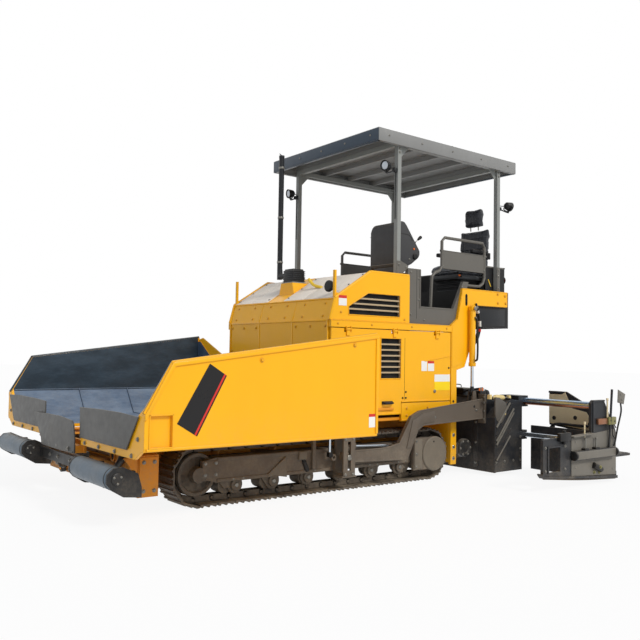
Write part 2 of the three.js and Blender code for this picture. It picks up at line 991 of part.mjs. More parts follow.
function cabinetSolid() {
  const c = cabinet;
  const half = rearInnerY - 2 * seat;
  const shell = cut(
    box([c.rearX, c.frontX], [-half, half], [body.deckZ + 5, c.top]),
    box([c.rearX + c.wall, c.frontX - c.wall], [-half + c.wall, half - c.wall], [
      body.deckZ - 5,
      c.top - c.wall,
    ]),
  );
  // The step frames' columns lean back beside the cabinet's front corners.
  const notch = box([c.frontX - 4, c.frontX + 10], [half - platform.framePlate - 8, half + 5], [1500, 2200]);
  const guardSides = box([c.rearX, c.guardFrontX], [c.guardY - c.guard, c.guardY], [c.top - 2, c.guardTop]);
  const back = box([c.rearX, c.rearX + c.guard], [-c.guardY, c.guardY], [c.top - 2, c.guardTop]);
  return join(cut(shell, notch, notch.mirror([0, 1, 0])), guardSides, guardSides.mirror([0, 1, 0]), back);
}

add("rear_cabinet", cabinetSolid(), black);

// ---------------------------------------------------------------- console and seat

const consoleY = [console_.centreY - console_.width / 2, console_.centreY + console_.width / 2];
add(
  "console",
  join(
    sidePlate(
      [
        [console_.frontX, 2205],
        [console_.frontX, 2640],
        [console_.frontX - 55, 2700],
        [console_.frontX - 130, 2690],
        [console_.frontX - 350, 2400],
        [console_.frontX - 330, 2330],
        [console_.frontX - 120, 2205],
      ],
      consoleY,
    ),
    box([console_.frontX - 5, console_.frontX - 110], [consoleY[0] + 60, consoleY[1] - 10], [
      console_.bottom,
      2215,
    ]),
  ),
  darkGrey,
);

const chairY = [chair.centreY - chair.width / 2, chair.centreY + chair.width / 2];
add(
  "seat_base",
  join(
    box([-2090, -2400], [chairY[0] + 60, chairY[1] - 60], [cabinet.top + running, 2150]),
    box([-2010, -2470], [chairY[0] + 20, chairY[1] - 20], [2148, chair.cushionBottom - seat]),
    box([-2471, -2491], [chairY[0] + 120, chairY[1] - 120], [2160, 2420]),
    box([-2460, -2491], [chairY[0] + 120, chairY[1] - 120], [2160, chair.cushionBottom - seat]),
  ),
  darkGrey,
);

add(
  "seat_cushion",
  sidePlate(
    [
      [chair.frontX, 2235],
      [chair.frontX + 12, 2280],
      [chair.frontX - 30, 2325],
      [-2450, chair.cushionTop],
      [-2465, chair.cushionBottom],
      [chair.frontX - 20, chair.cushionBottom],
    ],
    chairY,
  ),
  vinyl,
);

add(
  "seat_back",
  join(
    sidePlate(
      [
        [-2492, 2240],
        [-2492 + 40, 2330 + 12],
        [-2470, 2560],
        [-2500, 2790],
        [-2560, 2800],
        [-2590, 2700],
        [-2570, 2240],
      ],
      chairY,
    ).subtract(box([-2400, -2491 - seat], [chairY[0] - 5, chairY[1] + 5], [2200, 2425])),
    box([-2520, -2560], [chair.centreY - 70, chair.centreY + 70], [2780, 2850]),
    sidePlate(
      [
        [-2480, 2850],
        [-2470, 2960],
        [-2500, 3030],
        [-2545, 3035],
        [-2575, 2970],
        [-2565, 2840],
        [-2500, 2830],
      ],
      [chair.centreY - 125, chair.centreY + 125],
    ),
  ),
  vinyl,
);

// ---------------------------------------------------------------- canopy and stack

function canopyRoof() {
  const c = canopy;
  const ringTop = c.bottom + 5 + c.ring;
  const tray = cut(
    box([c.rearX, c.frontX], [-c.halfWidth, c.halfWidth], [c.bottom, c.top]),
    box([c.rearX + c.rim, c.frontX - c.rim], [-c.halfWidth + c.rim, c.halfWidth - c.rim], [
      c.bottom - 5,
      c.top - c.skin,
    ]),
  );
  const ribs = [];
  const count = 5;
  for (let i = 0; i < count; i += 1) {
    const x = c.postFrontX + ((c.postRearX - c.postFrontX) * i) / (count - 1);
    ribs.push(
      box([x - 20, x + 20], [-c.halfWidth + 10, c.halfWidth - 10], [ringTop + seat, c.top - c.skin + 2]),
    );
  }
  return join(tray, ribs);
}

add("canopy_roof", canopyRoof(), darkGrey);

function canopyFrame() {
  const c = canopy;
  const half = c.post / 2;
  const ringZ = [c.bottom + 5, c.bottom + 5 + c.ring];
  const x = [c.postRearX - half, c.postFrontX + half];
  const y = c.postY + half - 0.6;
  const ring = cut(
    box(x, [-y, y], ringZ),
    box([x[0] + c.post, x[1] - c.post], [-y + c.post, y - c.post], [ringZ[0] - 5, ringZ[1] + 5]),
  );
  const posts = [];
  for (const side of [-1, 1]) {
    const postY = side > 0 ? [y - c.post, y] : [-y, -y + c.post];
    const footY = side > 0 ? [y - c.post - 30, y] : [-y, -y + c.post + 30];
    const front = [c.postFrontX - half, c.postFrontX + half];
    const rear = [c.postRearX - half, c.postRearX + half];
    posts.push(box(front, postY, [body.topZ + seat, ringZ[0] + 5]));
    posts.push(box([front[0] - 30, front[1] + 30], footY, [body.topZ + seat, body.topZ + 14]));
    posts.push(box(rear, postY, [cabinet.top + seat, ringZ[0] + 5]));
  }
  return join(ring, posts);
}

add("canopy_frame", canopyFrame(), darkGrey);

function stackSolid() {
  const s = stack;
  const case_ = box([s.x - s.sizeX / 2, s.x + s.sizeX / 2], [s.y - s.sizeY / 2, s.y + s.sizeY / 2], [
    s.bottom,
    s.top,
  ]);
  const pipe = bar([s.pipeX, s.pipeY, s.bottom + 60], [s.pipeX, s.pipeY, s.pipeTop], s.pipe, 16);
  const elbowZ = s.bottom + 90;
  const elbow = bar([s.pipeX, s.pipeY, elbowZ], [s.pipeX, s.y - s.sizeY / 2 + 5, elbowZ], s.pipe - 2, 12);
  return join(case_, pipe, elbow);
}

add("exhaust_stack", stackSolid(), black);

// ---------------------------------------------------------------- hopper wings, flaps and cylinders

function wingSolid() {
  const h = hopper;
  const inner = h.hingeY + h.hingeRadius + clear + 5;
  const profile = [
    [inner, h.floorBottom],
    [h.halfWidth - 16, h.floorBottom],
    [h.halfWidth, h.floorBottom + 26],
    [h.halfWidth, h.topRearZ + 20],
    [h.wallTopY, h.topRearZ + 20],
    [h.foldTopY, h.foldTopZ],
    [h.foldY, h.floorBottom + h.floor],
    [inner, h.floorBottom + h.floor],
  ];
  const side = [
    [h.rearX, h.floorBottom - 10],
    [h.rearX, h.topRearZ],
    [h.topFrontX, h.topFrontZ],
    [h.frontX, h.noseZ],
    [h.frontX, h.floorBottom - 10],
  ];
  const trough = crossPlate(profile, [h.rearX, h.frontX]).intersect(sidePlate(side, [0, h.halfWidth + 50]));
  const nosePlate = crossPlate(
    [
      [inner, h.plateBottom],
      [h.halfWidth - 145, h.plateBottom],
      [h.halfWidth, h.floorBottom + 24],
      [h.halfWidth, h.noseZ],
      [h.foldTopY + 6, h.noseZ],
      [h.foldY, h.floorBottom + h.floor - 2],
      [inner, h.floorBottom + h.floor - 2],
    ],
    [h.frontX - h.frontPlate, h.frontX],
  );
  const apron = crossPlate(
    [
      [inner, h.floorBottom + 5],
      [h.halfWidth - 10, h.floorBottom + 5],
      [h.halfWidth - 10, h.topRearZ - 48],
      [h.halfWidth - 100, h.topRearZ - 48],
      [1120, 1130],
      [inner, 690],
    ],
    [h.rearX, h.rearX + 22],
  );
  const pocket = box([1925, 2098], [h.halfWidth - 25, h.halfWidth + 10], [606, 826]);
  const lugs = hingeBracketXs().map((x) => {
    const at = x + 90;
    return cut(
      join(
        bar([at - 25, h.hingeY, h.hingeZ], [at + 25, h.hingeY, h.hingeZ], h.hingeRadius + 10, 12),
        box([at - 25, at + 25], [h.hingeY, inner + 8], [h.floorBottom - 2, h.hingeZ + h.hingeRadius + 10]),
      ),
      bore([at - 30, h.hingeY, h.hingeZ], [at + 30, h.hingeY, h.hingeZ], h.hingeRadius, 12),
    );
  });
  // Two plates under the floor that hold the cylinder's eye between them.
  const w = wingCylinder;
  const eyeLugs = [-1, 1].map((side) =>
    crossPlate(
      [
        [w.eyeY - 45, h.floorBottom + 4],
        [w.eyeY - 22, w.eyeZ - 18],
        [w.eyeY + 22, w.eyeZ - 18],
        [w.eyeY + 45, h.floorBottom + 4],
      ],
      side > 0 ? [w.x + 22, w.x + 34] : [w.x - 34, w.x - 22],
    ),
  );
  return join(cut(join(trough, apron), pocket), nosePlate, lugs, eyeLugs);
}

addPair("hopper_wing", wingSolid(), yellow);

const wingInnerY = hopper.hingeY + hopper.hingeRadius + clear + 5;
const flapX = [hopper.frontX + seat, hopper.frontX + seat + hopper.flap];
addPair(
  "wing_flap",
  crossPlate(
    [
      [wingInnerY, 572],
      [hopper.foldY + 6, 572],
      [hopper.foldTopY - 2, hopper.flapTop],
      [wingInnerY, hopper.flapTop - 6],
    ],
    flapX,
  ),
  darkGrey,
);

// The centre flap is a curved sheet on the front lip, nearer the camera side at its top.
function centreFlap() {
  const x = hopper.frontX + 25 + seat;
  const lower = [
    [-380, 440],
    [380, 440],
    [380, 500],
    [-380, 500],
  ];
  const upper = [
    [-380, 496],
    [-560, 640],
    [-640, 706],
    [-300, 716],
    [60, 716],
    [330, 698],
    [380, 640],
    [380, 496],
  ];
  return join(crossPlate(lower, [x, x + 12]), crossPlate(upper, [x, x + 12]));
}

add("centre_flap", centreFlap(), darkGrey);

function towards([y0, z0], [y1, z1], distance) {
  const length = Math.hypot(y1 - y0, z1 - z0);
  return [y0 + ((y1 - y0) * distance) / length, z0 + ((z1 - z0) * distance) / length];
}

function wingBarrel() {
  const w = wingCylinder;
  const at = (distance) => [w.x, ...towards([w.y, w.z], [w.eyeY, w.eyeZ], distance)];
  const eye = bar([w.x - 22, w.y, w.z], [w.x + 22, w.y, w.z], 26, 16);
  const tube = bar(at(10), at(w.barrelLength), w.barrel, 16);
  const rodBore = bore(at(45), at(w.barrelLength + 20), w.rod, 12);
  const pinHole = bore([w.x - 40, w.y, w.z], [w.x + 40, w.y, w.z], w.pin, 12);
  return cut(join(eye, tube), rodBore, pinHole);
}

function wingRod() {
  const w = wingCylinder;
  const length = Math.hypot(w.eyeY - w.y, w.eyeZ - w.z);
  const at = (distance) => [w.x, ...towards([w.y, w.z], [w.eyeY, w.eyeZ], distance)];
  return join(
    bar(at(length - w.engaged - 80), at(length), w.rod, 12),
    bar([w.x - 16, w.eyeY, w.eyeZ], [w.x + 16, w.eyeY, w.eyeZ], 24, 16),
  );
}

addPair("wing_cylinder", wingBarrel(), darkGrey);
addPair("wing_rod", wingRod(), chrome);

// ---------------------------------------------------------------- push-roller beam

// The arm plate stands one gap past a roller's end, on its outer or its inner side.
function endPlateY(y, side) {
  const near = y + side * clear;
  const far = near + side * roller.armPlate;
  return [Math.min(near, far), Math.max(near, far)];
}

function rollerBeam() {
  const r = roller;
  const barX = [2062, 2122];
  const outer = r.outerY + clear + r.armPlate;
  const beam = box(barX, [-outer, outer], [300, 400]);
  const tongue = cut(
    box([rollerPivotX - 42, barX[0] + 10], [-58, 58], [322, 400]),
    bore([rollerPivotX, 0, 300], [rollerPivotX, 0, 440], rollerPivotPin),
  );
  const arms = [];
  for (const [y, side] of [
    [r.outerY, 1],
    [r.innerY, -1],
  ]) {
    const plate = sidePlate(
      [
        [barX[0], 400],
        [r.x - 40, r.z + 84],
        [r.x + 30, r.z + 78],
        [r.x + 74, r.z + 36],
        [r.x + 78, r.z - 30],
        [r.x + 40, r.z - 76],
        [r.x - 50, r.z - 130],
        [barX[0] - 30, 225],
        [barX[0] - 30, 300],
      ],
      endPlateY(y, side),
    );
    arms.push(
      cut(plate, bore([r.x, y - 60, r.z], [r.x, y + 60, r.z], r.pin, 12)),
    );
  }
  const left = join(arms);
  return join(beam, tongue, left, left.mirror([0, 1, 0]));
}

add("roller_beam", rollerBeam(), black);
addPair(
  "push_roller",
  join(
    bar([roller.x, roller.innerY, roller.z], [roller.x, roller.outerY, roller.z], roller.radius, 28),
    bar(
      [roller.x, roller.innerY - clear - 14, roller.z],
      [roller.x, roller.outerY + clear + 14, roller.z],
      roller.pin,
      12,
    ),
  ),
  steel,
);

// ---------------------------------------------------------------- augers

function augerFlight() {
  const a = auger;
  const length = a.outerY - a.innerY - 60;
  const stepsPerTurn = 12;
  const steps = Math.round(a.turns * stepsPerTurn);
  const positions = [];
  const index = [];
  for (let i = 0; i <= steps; i += 1) {
    const angle = (2 * Math.PI * i) / stepsPerTurn;
    const y = a.innerY + 30 + ((length - a.flight) * i) / steps;
    for (const [radius, dy] of [
      [a.shaft - 12, 0],
      [a.radius, 0],
      [a.radius, a.flight],
      [a.shaft - 12, a.flight],
    ]) {
      positions.push(a.x + radius * Math.cos(angle), y + dy, a.z + radius * Math.sin(angle));
    }
  }
  const quad = (p, q, r, s) => index.push(p, q, r, p, r, s);
  for (let i = 0; i < steps; i += 1) {
    for (let k = 0; k < 4; k += 1) {
      const next = (k + 1) % 4;
      quad(4 * i + k, 4 * i + next, 4 * (i + 1) + next, 4 * (i + 1) + k);
    }
  }
  quad(3, 2, 1, 0);
  quad(4 * steps, 4 * steps + 1, 4 * steps + 2, 4 * steps + 3);
  const geometry = new THREE.BufferGeometry();
  geometry.setAttribute("position", new THREE.Float32BufferAttribute(positions, 3));
  geometry.setIndex(index);
  return solid(geometry);
}

addPair(
  "auger",
  join(
    bar([auger.x, auger.innerY, auger.z], [auger.x, auger.outerY, auger.z], auger.shaft, 16),
    bar(
      [auger.x, auger.outerY - 2, auger.z],
      [auger.x, body.halfWidth - 14, auger.z],
      auger.shaft - 8,
      16,
    ),
    augerFlight(),
  ),
  steel,
);

// ---------------------------------------------------------------- tow arms and screed

function towArm() {
  const t = tow;
  const y = [t.innerY, t.outerY];
  const plate = sidePlate(
    [
      [-100, 372],
      [-88, 350],
      [-88, 300],
      [-100, 278],
      [-920, 247],
      [-1070, 533],
      [-1145, 574],
      [t.rearX, 608],
      [t.rearX, 815],
      [-1110, 720],
      [-985, 668],
      [-815, 408],
      [-660, 377],
    ],
    y,
  );
  const pin = bar([t.pivotX, t.innerY - 25, t.pivotZ], [t.pivotX, t.outerY + 32, t.pivotZ], t.pin, 16);
  const flange = box([t.rearX + 2, t.rearX - t.flange], [t.innerY - 20, t.outerY + 22], [556, 870]);
  // Two plates on the arm's back end that hold the lift rod's eye between them.
  const ears = [-1, 1].map((side) =>
    sidePlate(
      [
        [lift.x - 40, 770],
        [lift.x - 24, lift.eyeZ + 20],
        [lift.x + 24, lift.eyeZ + 20],
        [lift.x + 40, 770],
      ],
      side > 0 ? [lift.y + 24, lift.y + 36] : [lift.y - 36, lift.y - 24],
    ),
  );
  const shelf = box([lift.x - 45, lift.x + 45], [lift.y - 36, t.innerY + 5], [745, 775]);
  return join(plate, pin, flange, ears, shelf);
}

addPair("tow_arm", towArm(), greyBrown);

function screedSolid() {
  const s = screed;
  const outer = [
    [s.frontX, s.bottom],
    [s.frontX, s.kneeZ],
    [s.crestX, s.top],
    [s.rearX + 50, s.top - 15],
    [s.rearX, s.top - 80],
    [s.rearX, s.bottom],
  ];
  const inner = [
    [s.frontX - s.wall, s.bottom + 70],
    [s.frontX - s.wall, s.kneeZ - 12],
    [s.crestX - 10, s.top - s.wall],
    [s.rearX - 20, s.top - s.wall - 60],
    [s.rearX - 20, s.bottom + 70],
  ];
  const half = s.halfWidth;
  const shell = cut(
    sidePlate(outer, [-half, half]),
    sidePlate(inner, [-half + s.endPlate, -40]),
    sidePlate(inner, [40, half - s.endPlate]),
  );
  const rib = (x, z, length) =>
    sidePlate(
      [
        [x, z],
        [x - length * 0.62, z + length * 0.78],
        [x - length * 0.62 - 22, z + length * 0.78],
        [x - 22, z],
      ],
      [half - 2, half + 14],
    );
  const ribs = [rib(s.frontX - 12, 180, 400), rib(s.frontX - 12, 330, 460), rib(s.frontX - 12, 440, 420)].map(
    (shape) => shape.intersect(sidePlate(outer, [half - 5, half + 20])),
  );
  // Bracket that bolts to the tow arm's flange.
  const bracket = sidePlate(
    [
      [s.frontX, 575],
      [s.frontX, 850],
      [s.frontX - 20, 850],
      [-2210, 800],
      [-2400, 790],
      [-2440, 640],
      [-2200, 585],
    ],
    [tow.innerY + 5, tow.outerY],
  );
  const guides = [
    tubeGuide([extension.tubeX, extension.tubeZ], extension.tube, [s.rearX + 60, s.rearX - 105]),
    tubeGuide([extension.tubeX, extension.lowerTubeZ], extension.lowerTube, [s.rearX + 60, s.rearX - 90]),
  ];
  const left = join(ribs, bracket, guides);
  return join(shell, left, left.mirror([0, 1, 0]), crossWeb());
}

// A block with a bore that an extension tube slides through.
function tubeGuide([x, z], radius, [front, rear]) {
  const y = [screed.halfWidth - 260, screed.halfWidth];
  return cut(
    box([front, rear], y, [z - radius - 22, z + radius + 22]),
    bore([x, y[0] - 5, z], [x, y[1] + 5, z], radius, 20),
  );
}

// A rib across the hollow that ties the top of the screed's shell to its bottom.
function crossWeb() {
  return box([screed.frontX - 10, screed.rearX + 2], [-42, 42], [screed.bottom + 20, screed.kneeZ]);
}

add("screed_frame", screedSolid(), black);

// Height of the skid's upper face, which falls towards the rear.
const skidPlate = 28;
const skidTop = (x) =>
  screed.bottom + 26 + (80 * (x - extension.gateRearX)) / (extension.gateFrontX - extension.gateRearX);

function extensionSolid() {
  const e = extension;
  const gateY = [e.outerY - e.gatePlate, e.outerY];
  const innerEnd = screed.halfWidth + clear + 16;
  const mould = box([e.frontX, e.frontX - 30], [innerEnd, gateY[0] + 2], [screed.bottom, e.top]);
  const plate = box([e.frontX, e.rearX], [innerEnd, gateY[0] + 2], [screed.bottom, screed.bottom + 60]);
  const innerRib = sidePlate(
    [
      [e.frontX - 5, screed.bottom + 10],
      [e.frontX - 5, e.top - 20],
      [e.frontX - 60, e.top - 20],
      [e.rearX + 10, 230],
      [e.rearX + 10, screed.bottom + 10],
    ],
    [innerEnd, innerEnd + 20],
  );
  const gate = cut(
    sidePlate(
      [
        [e.gateFrontX, skidTop(e.gateFrontX) - 5],
        [e.gateFrontX, 498],
        [e.gateFrontX - 420, 508],
        [e.frontX + 200, 514],
        [e.frontX + 200, e.tubeZ + 30],
        [e.frontX + 175, e.tubeZ + 55],
        [e.frontX - 30, e.tubeZ + 55],
        [e.gateRearX + 20, 560],
        [e.gateRearX, 520],
        [e.gateRearX, skidTop(e.gateRearX) - 5],
      ],
      gateY,
    ),
    box([e.gateFrontX - 65, e.gateFrontX - 275], [gateY[0] - 5, gateY[1] + 5], [180, 415]),
  );
  // The skid rises towards the front and ends in a turned-up toe.
  const skid = sidePlate(
    [
      [e.gateFrontX + 40, skidTop(e.gateFrontX) + 25],
      [e.gateFrontX + 5, skidTop(e.gateFrontX) - 10],
      [e.gateRearX, skidTop(e.gateRearX) - skidPlate],
      [e.gateRearX, skidTop(e.gateRearX)],
      [e.gateFrontX, skidTop(e.gateFrontX) + 5],
      [e.gateFrontX + 30, skidTop(e.gateFrontX) + 35],
    ],
    [gateY[0] - 10, gateY[1] + 22],
  );
  const beam = box([e.gateRearX + 80, e.gateFrontX - 450], [gateY[1] - 5, gateY[1] + 55], [275, 365]);
  const tubes = [
    bar([e.tubeX, e.tubeInnerY, e.tubeZ], [e.tubeX, gateY[0] + 5, e.tubeZ], e.tube, 20),
    bar([e.tubeX, e.tubeInnerY, e.lowerTubeZ], [e.tubeX, gateY[0] + 5, e.lowerTubeZ], e.lowerTube, 20),
  ];
  const walkway = join(
    box([e.rearX + 5, e.walkwayRearX], [innerEnd + 20, gateY[0]], [e.walkwayZ - 25, e.walkwayZ]),
    box([e.rearX - 30, e.rearX + 30], [innerEnd + 120, innerEnd + 160], [screed.bottom + 20, e.walkwayZ]),
    box([e.rearX - 30, e.rearX + 30], [gateY[0] - 160, gateY[0] - 120], [screed.bottom + 20, e.walkwayZ]),
  );
  const panel = crossPlate(
    [
      [innerEnd + 40, 520],
      [innerEnd + 40, 900],
      [1480, 900],
      [1880, 700],
      [1880, 470],
      [1700, 470],
    ],
    [e.rearX + 2, e.rearX + 22],
  );
  const panelLegs = [innerEnd + 60, 1800].map((y) =>
    box([e.rearX + 2, e.rearX + 26], [y, y + 40], [screed.bottom + 30, 620]),
  );
  const pole = bar([-2760, gateY[1] + 25, 330], [-2790, gateY[1] + 42, 960], 12, 10);
  const poleFoot = box([-2745, -2775], [gateY[1] - 5, gateY[1] + 38], [320, 350]);
  return join(mould, plate, innerRib, gate, skid, beam, tubes, walkway, panel, panelLegs, pole, poleFoot);
}

addPair("screed_extension", extensionSolid(), black);

// ---------------------------------------------------------------- screed lift cylinders

function liftBarrel() {
  const l = lift;
  const eye = bar([l.x, l.y - 26, l.z], [l.x, l.y + 26, l.z], 32, 16);
  const tube = bar([l.x, l.y, l.z - 15], [l.x, l.y, l.mouthZ], l.barrel, 16);
  const rodBore = bore([l.x, l.y, l.z - 50], [l.x, l.y, l.mouthZ - 20], l.rod, 12);
  const pinHole = bore([l.x, l.y - 50, l.z], [l.x, l.y + 50, l.z], l.pin, 12);
  return cut(join(eye, tube), rodBore, pinHole);
}

function liftRod() {
  const l = lift;
  return join(
    bar([l.x, l.y, l.mouthZ + l.insertion], [l.x, l.y, l.eyeZ], l.rod, 12),
    bar([l.x, l.y - 16, l.eyeZ], [l.x, l.y + 16, l.eyeZ], 30, 16),
  );
}

addPair("lift_cylinder", liftBarrel(), yellow);
addPair("lift_rod", liftRod(), chrome);

// ---------------------------------------------------------------- the machine's own origin

const frontEnd = roller.x + roller.radius;
const rearEnd = extension.walkwayRearX;
machine.position.x = -(frontEnd + rearEnd) / 2;

export default machine;
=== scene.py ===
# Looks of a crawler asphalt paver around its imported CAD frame: finishes for the CAD nodes, and the
# detailed pieces that stand on them or take their place. Metres, +X forward, +Y left, +Z up.
# Places are written about the middle of the tracks, as the part's own drawing does, and SHIFT
# carries a finished piece to the machine's origin. A piece is drawn for the left side, and its
# mirror image stands on the right.

import math

import bmesh
import bpy
from mathutils import Matrix, Vector


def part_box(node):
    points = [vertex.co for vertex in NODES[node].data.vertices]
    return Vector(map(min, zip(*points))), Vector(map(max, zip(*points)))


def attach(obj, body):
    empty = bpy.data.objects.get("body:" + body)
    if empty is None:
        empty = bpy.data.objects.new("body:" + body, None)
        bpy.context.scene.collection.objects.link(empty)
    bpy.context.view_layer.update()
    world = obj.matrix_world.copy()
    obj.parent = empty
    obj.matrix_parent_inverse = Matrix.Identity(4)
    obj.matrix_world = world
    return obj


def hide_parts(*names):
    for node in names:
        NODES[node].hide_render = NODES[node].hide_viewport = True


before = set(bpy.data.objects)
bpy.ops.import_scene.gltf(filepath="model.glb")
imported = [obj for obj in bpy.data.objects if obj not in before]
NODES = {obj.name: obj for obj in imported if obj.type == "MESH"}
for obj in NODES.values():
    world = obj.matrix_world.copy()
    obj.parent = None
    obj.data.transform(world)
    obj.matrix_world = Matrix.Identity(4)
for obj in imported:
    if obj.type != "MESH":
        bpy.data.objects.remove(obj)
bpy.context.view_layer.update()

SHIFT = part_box("hopper_wing_left")[1].x - 2.14
SIDES = ("left", "right")
# Ways that a face or a bolt looks. OUT is away from the middle, as the left side is drawn.
AHEAD, BACK, OUT, UP = (1, 0, 0), (-1, 0, 0), (0, 1, 0), (0, 0, 1)


def on_both_sides(build):
    for side in SIDES:
        build(side)


# ---------------- camera and colour

def place_camera():
    """The camera stands ahead of the hopper on the left and looks back along the machine."""
    yaw, pitch, roll = math.radians(-127.942), math.radians(2.593), math.radians(0.916)
    look = Vector((math.cos(yaw) * math.cos(pitch), math.sin(yaw) * math.cos(pitch), math.sin(pitch)))
    level = Vector((math.sin(yaw), -math.cos(yaw), 0.0))
    above = level.cross(look)
    right = level * math.cos(roll) + above * math.sin(roll)
    up = above * math.cos(roll) - level * math.sin(roll)
    lens = bpy.data.cameras.new("camera")
    lens.lens = 42.5
    lens.sensor_width = 36.0
    lens.clip_end = 200.0
    camera = bpy.data.objects.new("camera", lens)
    turn = Matrix((right, up, -look)).transposed().to_4x4()
    camera.matrix_world = Matrix.Translation((4.8845, 6.452, 1.274)) @ turn
    bpy.context.scene.collection.objects.link(camera)
    bpy.context.scene.camera = camera


place_camera()


def colour(red, green, blue):
    """A colour given in 0 to 255 steps, as the linear values that the shaders take."""
    steps = [value / 255 for value in (red, green, blue)]
    return tuple(s / 12.92 if s <= 0.04045 else ((s + 0.055) / 1.055) ** 2.4 for s in steps) + (1.0,)


# ---------------- node helpers

def plug(tree, node, values):
    """Fills a node's inputs, each from a socket or with a plain value. Names may be socket numbers."""
    for name, value in values.items():
        socket = node.inputs[name]
        if isinstance(value, bpy.types.NodeSocket):
            tree.links.new(value, socket)
        else:
            socket.default_value = value


def make(tree, kind, values=None, **settings):
    node = tree.nodes.new("ShaderNode" + kind)
    for name, value in settings.items():
        setattr(node, name, value)
    plug(tree, node, values or {})
    return node


def maths(tree, operation, first, second=0.0, clamp=False):
    node = make(tree, "Math", {0: first, 1: second}, operation=operation, use_clamp=clamp)
    return node.outputs[0]


def blended(tree, factor, first, second, mode="MIX"):
    node = make(tree, "Mix", data_type="RGBA", blend_type=mode)
    plug(tree, node, {0: factor, 6: first, 7: second})
    return node.outputs[2]


def ramp(tree, value, low, high, first=0.0, second=1.0):
    """The value's span low to high taken to first to second, held at both ends."""
    values = {"Value": value, "From Min": low, "From Max": high, "To Min": first, "To Max": second}
    return make(tree, "MapRange", values, clamp=True).outputs[0]


def noise(tree, where, scale, detail=3.0, rough=0.55, stretch=None):
    if stretch:
        where = make(tree, "Mapping", {"Vector": where, "Scale": stretch}).outputs[0]
    values = {"Vector": where, "Scale": scale, "Detail": detail, "Roughness": rough}
    return make(tree, "TexNoise", values).outputs["Fac"]


def new_group(name, takes, gives):
    """An empty node group with named inputs and outputs, and its two end nodes."""
    tree = bpy.data.node_groups.new(name, "ShaderNodeTree")
    for label, kind, value in takes:
        socket = tree.interface.new_socket(label, in_out="INPUT", socket_type="NodeSocket" + kind)
        socket.default_value = value
    for label, kind in gives:
        tree.interface.new_socket(label, in_out="OUTPUT", socket_type="NodeSocket" + kind)
    return tree, tree.nodes.new("NodeGroupInput").outputs, tree.nodes.new("NodeGroupOutput").inputs


def object_place(tree):
    return make(tree, "TexCoord").outputs["Object"]


def paint_tone_group():
    """A coat of colour that is a little uneven in broad clouds, fine mottle and downward streaks."""
    takes = [("Colour", "Color", (1, 1, 1, 1)), ("Amount", "Float", 0.1), ("Scale", "Float", 3.0)]
    tree, given, put = new_group("paint_tone", takes, [("Colour", "Color")])
    where = object_place(tree)
    cloud = noise(tree, where, given["Scale"], 2.0)
    fine = noise(tree, where, maths(tree, "MULTIPLY", given["Scale"], 14.0), 3.0, 0.7)
    streak = noise(tree, where, maths(tree, "MULTIPLY", given["Scale"], 5.0), 2.0, 0.6, (1, 1, 0.12))
    mottle = maths(tree, "ADD", maths(tree, "MULTIPLY", cloud, 0.5), maths(tree, "MULTIPLY", fine, 0.2))
    mottle = maths(tree, "ADD", mottle, maths(tree, "MULTIPLY", streak, 0.3))
    around = maths(tree, "MULTIPLY", maths(tree, "SUBTRACT", mottle, 0.5), 2.4)
    gain = maths(tree, "ADD", 1.0, maths(tree, "MULTIPLY", around, given["Amount"]))
    level = make(tree, "CombineColor", {0: gain, 1: gain, 2: gain}).outputs[0]
    tree.links.new(blended(tree, 1.0, given["Colour"], level, "MULTIPLY"), put["Colour"])
    return tree


def road_dust_group():
    """Pale dust that lies thickest low down and on faces that look up."""
    takes = [("Colour", "Color", (1, 1, 1, 1)), ("Dust", "Color", (0.3, 0.27, 0.22, 1)),
        ("Amount", "Float", 0.3), ("Reach", "Float", 0.8), ("Lying", "Float", 0.3)]
    tree, given, put = new_group("road_dust", takes, [("Colour", "Color"), ("Mask", "Float")])
    where = object_place(tree)
    height = make(tree, "SeparateXYZ", {0: where}).outputs["Z"]
    low = maths(tree, "SUBTRACT", 1.0, maths(tree, "DIVIDE", height, given["Reach"]), True)
    facing = make(tree, "SeparateXYZ", {0: make(tree, "NewGeometry").outputs["Normal"]}).outputs["Z"]
    lying = maths(tree, "MULTIPLY", ramp(tree, facing, 0.35, 0.9), given["Lying"])
    patch = ramp(tree, noise(tree, where, 5.0, 5.0, 0.65), 0.36, 0.68)
    speck = ramp(tree, noise(tree, where, 46.0, 4.0, 0.7), 0.34, 0.7)
    cover = maths(tree, "MULTIPLY", maths(tree, "MULTIPLY", low, given["Amount"]), patch)
    cover = maths(tree, "ADD", cover, maths(tree, "MULTIPLY", lying, maths(tree, "ADD", 0.35, patch)))
    mask = maths(tree, "MULTIPLY", cover, maths(tree, "ADD", 0.5, speck), True)
    tree.links.new(blended(tree, mask, given["Colour"], given["Dust"]), put["Colour"])
    tree.links.new(mask, put["Mask"])
    return tree


def worn_edge_group():
    """Rounds a hard edge in the shading, and marks where paint has rubbed off it."""
    takes = [("Radius", "Float", 0.005), ("Amount", "Float", 0.5)]
    tree, given, put = new_group("worn_edge", takes, [("Normal", "Vector"), ("Mask", "Float")])
    turned_edge = make(tree, "Bevel", {"Radius": given["Radius"]}, samples=5).outputs[0]
    flat = make(tree, "NewGeometry").outputs["True Normal"]
    dot = make(tree, "VectorMath", {0: turned_edge, 1: flat}, operation="DOT_PRODUCT").outputs["Value"]
    near = ramp(tree, dot, 0.992, 0.86)
    rub = ramp(tree, noise(tree, object_place(tree), 34.0, 4.0, 0.7), 0.42, 0.62)
    mask = maths(tree, "MULTIPLY", maths(tree, "MULTIPLY", near, rub), given["Amount"], True)
    tree.links.new(turned_edge, put["Normal"])
    tree.links.new(mask, put["Mask"])
    return tree


